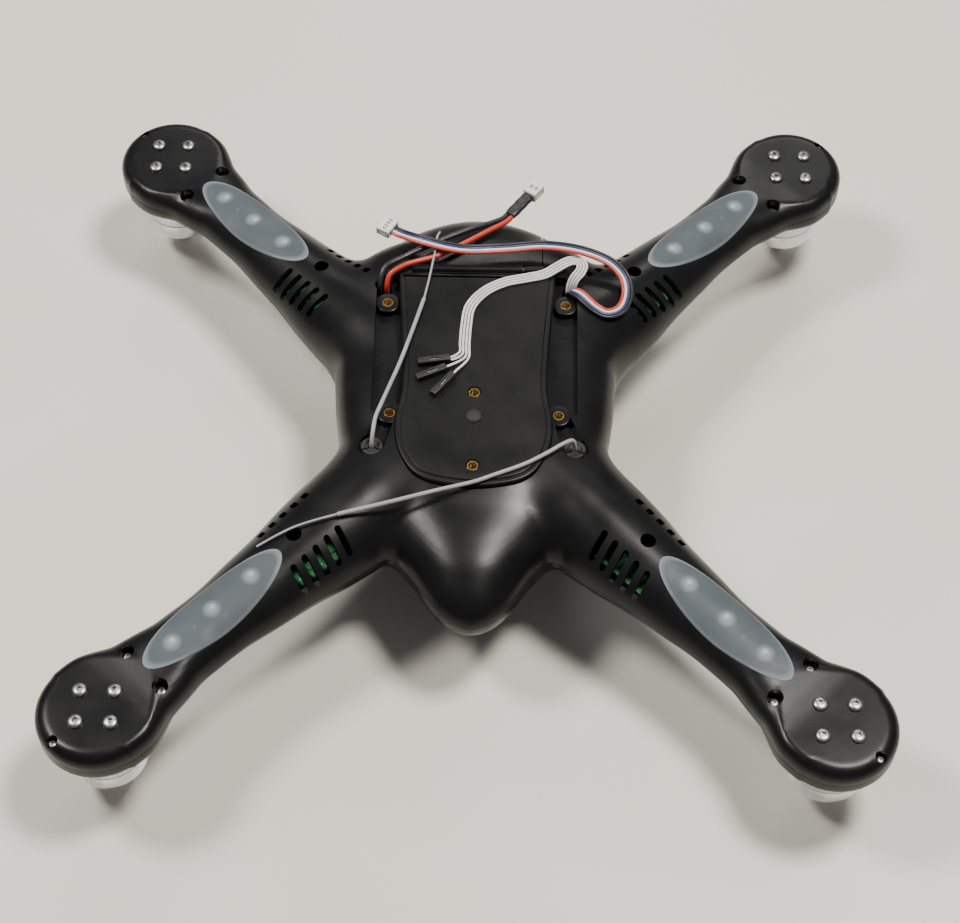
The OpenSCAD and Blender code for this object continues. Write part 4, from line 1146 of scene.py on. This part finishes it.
AIR = "airframe"
DOOR = "battery_door_body"

antenna_left_coax_route = [
    (-0.038, -0.024, 0.057), (-0.038, -0.024, 0.0614), (-0.0376, -0.0215, 0.0648), (-0.0368, -0.015, 0.0662),
    (-0.0348, -0.0085, 0.0665), (-0.0324, -0.001, 0.0665), (-0.029, 0.010, 0.0662), (-0.0245, 0.027, 0.066),
    (-0.0205, 0.043, 0.066),
]
antenna_left_wire_route = [
    (-0.0205, 0.043, 0.066), (-0.019, 0.052, 0.0662), (-0.0175, 0.061, 0.0678), (-0.0168, 0.0665, 0.0676),
    (-0.0164, 0.073, 0.0672), (-0.0155, 0.079, 0.0636),
]
antenna_right_coax_route = [
    (0.038, -0.024, 0.057), (0.038, -0.024, 0.0624), (0.037, -0.0238, 0.0658), (0.0335, -0.026, 0.0668),
    (0.027, -0.0305, 0.0666), (0.019, -0.035, 0.066), (0.009, -0.0395, 0.066), (0.001, -0.043, 0.066),
    (-0.013, -0.047, 0.0656), (-0.030, -0.0515, 0.0642), (-0.049, -0.056, 0.0622),
]
antenna_right_wire_route = [
    (-0.049, -0.056, 0.0622), (-0.056, -0.058, 0.0616), (-0.064, -0.0605, 0.0604), (-0.071, -0.0635, 0.0586),
    (-0.078, -0.067, 0.0564),
]
power_red_route = [
    (-0.0357, 0.0525, 0.057), (-0.0357, 0.0529, 0.061), (-0.0345, 0.0555, 0.0646), (-0.029, 0.059, 0.0664),
    (-0.017, 0.064, 0.0662), (-0.0075, 0.0705, 0.0654), (0.0025, 0.079, 0.0636), (0.0115, 0.0872, 0.0616),
    (0.0132, 0.0896, 0.0614),
]
power_black_route = [
    (-0.0384, 0.0525, 0.057), (-0.0384, 0.0535, 0.0616), (-0.0366, 0.0585, 0.0652), (-0.029, 0.0635, 0.0664),
    (-0.015, 0.073, 0.0654), (-0.003, 0.0804, 0.0642), (0.0046, 0.085, 0.0626), (0.0097, 0.0886, 0.0616),
    (0.0114, 0.091, 0.0614),
]
ribbon_route = [
    (0.037, 0.0516, 0.057), (0.0371, 0.0512, 0.0608), (0.038, 0.0498, 0.0632), (0.0404, 0.0474, 0.0644),
    (0.0435, 0.0438, 0.0645), (0.0466, 0.041, 0.0639), (0.051, 0.0394, 0.0628), (0.0562, 0.042, 0.0622),
    (0.059, 0.0485, 0.0626), (0.0584, 0.056, 0.064), (0.053, 0.0624, 0.066), (0.042, 0.0666, 0.068),
    (0.027, 0.069, 0.0682), (0.010, 0.067, 0.0684), (-0.007, 0.0654, 0.0696), (-0.024, 0.071, 0.0686),
    (-0.0314, 0.0758, 0.0664), (-0.0339, 0.0773, 0.0664),
]
signal_route = [
    (0.0372, 0.0539, 0.057), (0.0373, 0.0546, 0.0604), (0.0384, 0.056, 0.0636), (0.0406, 0.0582, 0.0652),
    (0.0414, 0.061, 0.0658), (0.0396, 0.0634, 0.0658), (0.036, 0.063, 0.0658), (0.031, 0.0596, 0.0657),
    (0.0265, 0.0564, 0.0656), (0.019, 0.0542, 0.0656), (0.011, 0.052, 0.0656), (0.003, 0.047, 0.0656),
    (-0.0024, 0.0394, 0.0656), (-0.0038, 0.030, 0.0656), (-0.0042, 0.021, 0.0656),
]
signal_ends = [
    [(-0.006, 0.017, 0.0656), (-0.0085, 0.0144, 0.066), (-0.0096, 0.014, 0.0662)],
    [(-0.005, 0.0158, 0.0656), (-0.0082, 0.0131, 0.066), (-0.0094, 0.0128, 0.0662)],
    [(-0.0039, 0.0146, 0.0656), (-0.010, 0.0098, 0.0662), (-0.0108, 0.0094, 0.0662)],
    [(-0.0026, 0.014, 0.0656), (-0.0074, 0.0072, 0.0662), (-0.008, 0.0063, 0.0662)],
]
SIGNAL_SPREAD = 0.0012


def smooth_route(points, spacing=0.0007):
    """The route as one smooth curve through its points, evenly spaced."""
    p = np.array(points, float)
    knots = np.concatenate([[0], np.cumsum(np.linalg.norm(np.diff(p, axis=0), axis=1) ** 0.5)])
    tangent = np.gradient(p, knots, axis=0)
    fine = []
    for k in range(len(p) - 1):
        h = knots[k + 1] - knots[k]
        for t in np.linspace(0, 1, 24, endpoint=False):
            fine.append(
                (1 + 2 * t) * (1 - t) ** 2 * p[k] + t * (1 - t) ** 2 * h * tangent[k]
                + t * t * (3 - 2 * t) * p[k + 1] + t * t * (t - 1) * h * tangent[k + 1]
            )
    fine = np.array(fine + [p[-1]])
    run = np.concatenate([[0], np.cumsum(np.linalg.norm(np.diff(fine, axis=0), axis=1))])
    count = max(12, int(run[-1] / spacing))
    even = np.linspace(0, run[-1], count)
    return np.stack([np.interp(even, run, fine[:, i]) for i in range(3)], 1)


def directions(path):
    along = np.gradient(path, axis=0)
    return along / np.linalg.norm(along, axis=1)[:, None]


def carried_frames(path):
    """Sideways and upward directions carried along the path without twist."""
    along = directions(path)
    across = np.cross(along[0], (0.3, 0.2, 0.9))
    sideways = []
    for a in along:
        across = across - a * np.dot(across, a)
        across /= np.linalg.norm(across)
        sideways.append(across)
    sideways = np.array(sideways)
    return sideways, np.cross(along, sideways)


def level_frames(path):
    along = directions(path)
    sideways = np.cross((0, 0, 1), along)
    sideways /= np.linalg.norm(sideways, axis=1)[:, None]
    for i in range(1, len(sideways)):
        if np.dot(sideways[i], sideways[i - 1]) < 0:
            sideways[i] *= -1
    return sideways, np.cross(along, sideways)


def tube(name, path, radius, frames=None, sides=16, shift=0.0, squeeze=1.0):
    """A round lead along the path, moved sideways by shift. Its ends are slightly rounded."""
    sideways, upward = frames or carried_frames(path)
    last = len(path) - 1
    rings = []
    for i, p in enumerate(path):
        own = radius * (0.8 if i in (0, last) else 1.0)
        middle = p + sideways[i] * shift
        ring = []
        for k in range(sides):
            a = 2 * math.pi * k / sides
            ring.append((middle + own * (sideways[i] * math.cos(a) + upward[i] * math.sin(a) * squeeze)) / MM)
        rings.append(ring)
    return ring_loft(name, rings)


def lay_cord(
    name, route, diameter, surface,
    node=None, blend=False,
):
    path = smooth_route(route)
    made = tube(name, path, diameter / 2)
    made.data.materials.append(surface.material)
    finished(made, None, None if blend else AIR, node, 60)
    if blend:
        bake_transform(made)
    return made


# ---- Plugs ----


def heading_matrix(at, heading):
    return Matrix.Translation(at) @ Matrix.Rotation(math.radians(heading), 4, "Z")


def housing(name, length, width, height, ways, surface, matrix, ribs=True):
    """A crimp housing along X: rounded block, a window for each way, open sockets."""
    made = block(name, (0, -width / 2, -height / 2), (length, width / 2, height / 2), 0.35)
    pitch = (width - 1.4) / ways
    for k in range(ways):
        y = (k + 0.5 - ways / 2) * pitch
        # Each opening: its reach along the housing, half its share of the pitch, and its height.
        for x0, x1, half, z0, z1 in (
            (length * 0.32, length * 0.62, 0.3, height / 2 - 0.7, height),
            (length - 2.4, length + 1, 0.34, -height * 0.26, height * 0.26),
            (-1, 1.2, 0.36, -height * 0.25, height * 0.25),
        ):
            cut(made, block("opening", (x0, y - pitch * half, z0), (x1, y + pitch * half, z1), 0.1, 1))
    if ribs:
        for side in (-1, 1):
            y0, y1 = sorted((side * width / 2, side * (width / 2 - 0.5)))
            low, high = (length * 0.2, y0 - 0.01, -0.6), (length * 0.9, y1 + 0.01, 0.6)
            cut(made, block("groove", low, high, 0.1, 1))
    made.data.materials.append(surface.material)
    contacts = []
    for k in range(ways):
        y = (k + 0.5 - ways / 2) * pitch
        low = (length * 0.2, y - pitch * 0.22, -height * 0.18)
        high = (length - 0.8, y + pitch * 0.22, height * 0.36)
        contact = block("contact", low, high, 0.12, 1)
        contact.data.materials.append(CONTACT.material)
        contacts.append(contact)
    whole = joined(name, [made] + contacts)
    whole.name = name
    return placed(whole, matrix)


ribbon_plug = housing(
    "ribbon_plug_skin", 5.9, 7.7, 3.7, 4, WHITE_PLUG, heading_matrix((-0.034, 0.0774, 0.0664), 149)
)
finished(ribbon_plug, None, DOOR, "ribbon_plug", 30)
power_plug = housing(
    "power_plug_skin", 6.9, 5.9, 4.5, 2, WHITE_PLUG, heading_matrix((0.0201, 0.1011, 0.0614), 54.4)
)
finished(power_plug, None, DOOR, "power_plug", 30)


def make_sleeve():
    """Heat-shrink sleeve over the two power leads, a little lumpy where they lie in it."""
    start, stop = np.array((0.0125, 0.0905, 0.0614)), np.array((0.0201, 0.1011, 0.0614))
    path = np.array([start + (stop - start) * t for t in np.linspace(0, 1, 24)])
    sideways, upward = level_frames(path)
    rings = []
    for i, p in enumerate(path):
        t = i / (len(path) - 1)
        grip = 1 - 0.12 * math.exp(-((t - 0.02) / 0.05) ** 2) - 0.1 * math.exp(-((t - 0.98) / 0.05) ** 2)
        grip *= 1 - 0.02 * math.sin(19 * t)
        ring = []
        for k in range(32):
            a = 2 * math.pi * k / 32
            wide = 2.55 * math.cos(a)
            tall = 1.3 * math.sin(a) * (1 + 0.35 * abs(math.cos(a)))
            ring.append(p / MM + grip * (sideways[i] * wide + upward[i] * tall))
        rings.append(ring)
    return ring_loft("power_sleeve_skin", rings)


power_sleeve = make_sleeve()
finished(power_sleeve, BLACK_SLEEVE, DOOR, "power_sleeve", 50)

signal_plug_size = (12.5, 2.8, 2.5)
signal_plug_places = [((-9.6, 13.4, 65.05), 190), ((-10.9, 9.2, 65.05), 206), ((-8.2, 6, 65.05), 232)]
signal_plugs = []
for k, (at, heading) in enumerate(signal_plug_places):
    length, width, height = signal_plug_size
    place = heading_matrix(Vector(at) * MM + Vector((0, 0, height / 2 * MM)), heading)
    signal_plugs.append(housing(f"signal_plug_{k}", length, width, height, 1, BLACK_PLUG, place, False))
signal_plugs = joined("signal_plugs_skin", signal_plugs)
finished(signal_plugs, None, AIR, "signal_plugs", 30)

# ---- Laying the cords ----

lay_cord("antenna_left_coax_skin", antenna_left_coax_route, 0.0016, COAX_GREY,
         "antenna_left_coax")
lay_cord("antenna_left_wire_skin", antenna_left_wire_route, 0.0009, COAX_GREY,
         "antenna_left_wire", blend=True)
lay_cord("antenna_right_coax_skin", antenna_right_coax_route, 0.0016, COAX_GREY,
         "antenna_right_coax")
lay_cord("antenna_right_wire_skin", antenna_right_wire_route, 0.0009, COAX_GREY,
         "antenna_right_wire")
lay_cord("power_lead_red_skin", power_red_route, 0.0022, RED_SLEEVE,
         "power_lead_red", blend=True)
lay_cord("power_lead_black_skin", power_black_route, 0.0022, BLACK_SLEEVE,
         "power_lead_black", blend=True)


def lay_ribbon():
    path = smooth_route(ribbon_route)
    frames = level_frames(path)
    strands = []
    for k, surface in enumerate((BLACK_SLEEVE, NAVY_SLEEVE, WHITE_SLEEVE, RED_SLEEVE)):
        strand = tube("strand", path, 0.0006, frames, 12, (k - 1.5) * 0.00119)
        strand.data.materials.append(surface.material)
        strands.append(strand)
    made = joined("ribbon_lead_skin", strands)
    finished(made, None, None, "ribbon_lead", 60)
    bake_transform(made)


def lay_signal_leads():
    middle = np.array(signal_route)
    sideways, _ = level_frames(middle)
    for k, end in enumerate(signal_ends):
        run = middle + sideways * (k - 1.5) * SIGNAL_SPREAD
        route = [tuple(p) for p in run] + end
        lay_cord(f"signal_lead_{k}", route, 0.00095, WHITE_SLEEVE,
                 "signal_leads" if k == 0 else None)


lay_ribbon()
lay_signal_leads()


# ---- Battery, boards and the other pieces that keep their CAD shape ----


def make_battery():
    low, high = node_box("battery_pack")
    made = block("battery_pack_skin", low, high, 2.2, 5)
    for y in (low[1] + 6, high[1] - 6):
        groove = block("groove", (low[0] - 1, y - 0.4, low[2] - 1), (high[0] + 1, y + 0.4, high[2] + 1))
        core = block("core", low + 0.3, high - 0.3, 2.2, 5)
        boolean(groove, core, "DIFFERENCE")
        cut(made, groove)
    finished(made, BATTERY_WRAP, AIR, "battery_pack", 30)


make_battery()

kept = {
    "battery_tray": INNER, "door_hinge_pin": SHAFT_STEEL, "flight_board": BOARD, "gps_module": BOARD,
    "receiver_module": BOARD,
}
for corner in CORNERS:
    kept[f"led_strip_{corner}"] = BOARD
    kept[f"esc_board_{corner}"] = BOARD
    kept[f"motor_base_{corner}"] = BASE_METAL
    kept[f"stator_{corner}"] = COPPER
    kept[f"shaft_{corner}"] = SHAFT_STEEL
for node, surface in kept.items():
    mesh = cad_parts[node].data
    mesh.materials.clear()
    mesh.materials.append(surface.material)


# ---- Floor and light ----


def make_floor():
    size = 3.0
    z = cad_bounds[0][2]
    mesh = bpy.data.meshes.new("floor")
    corners = [(-size, -size, z), (size, -size, z), (size, size, z), (-size, size, z)]
    mesh.from_pydata(corners, [], [(0, 1, 2, 3)])
    floor = add_object("floor", mesh)
    stone = Surface("floor_stone", (0.68, 0.655, 0.57), 0.4)
    stone.tinted((0.71, 0.69, 0.62), 0.16, 1.0)
    stone.worn(0.05, 0.08)
    floor.data.materials.append(stone.material)


def make_light(name, at, target, size, power, colour=(1, 1, 1)):
    data = bpy.data.lights.new(name, "AREA")
    data.shape = "RECTANGLE"
    data.size, data.size_y = size
    data.energy = power
    data.color = colour
    light = bpy.data.objects.new(name, data)
    bpy.context.scene.collection.objects.link(light)
    light.location = at
    light.rotation_euler = (Vector(target) - Vector(at)).to_track_quat("-Z", "Y").to_euler()


def make_world():
    world = bpy.data.worlds.new("studio")
    world.use_nodes = True
    background = world.node_tree.nodes["Background"]
    background.inputs["Color"].default_value = (0.95, 0.96, 1.0, 1)
    background.inputs["Strength"].default_value = 0.16
    bpy.context.scene.world = world


make_floor()
make_world()
make_light("key", (0.45, 0.1, 1.4), (0, 0, 0), (0.3, 0.3), 25, (1, 0.965, 0.91))
make_light("fill", (-0.75, 0.15, 1.2), (0, 0, 0), (0.3, 0.3), 16, (1, 0.965, 0.92))
make_light("back", (0.1, 1.3, 1.0), (0, 0, 0.03), (0.9, 0.25), 5, (1, 0.98, 0.95))
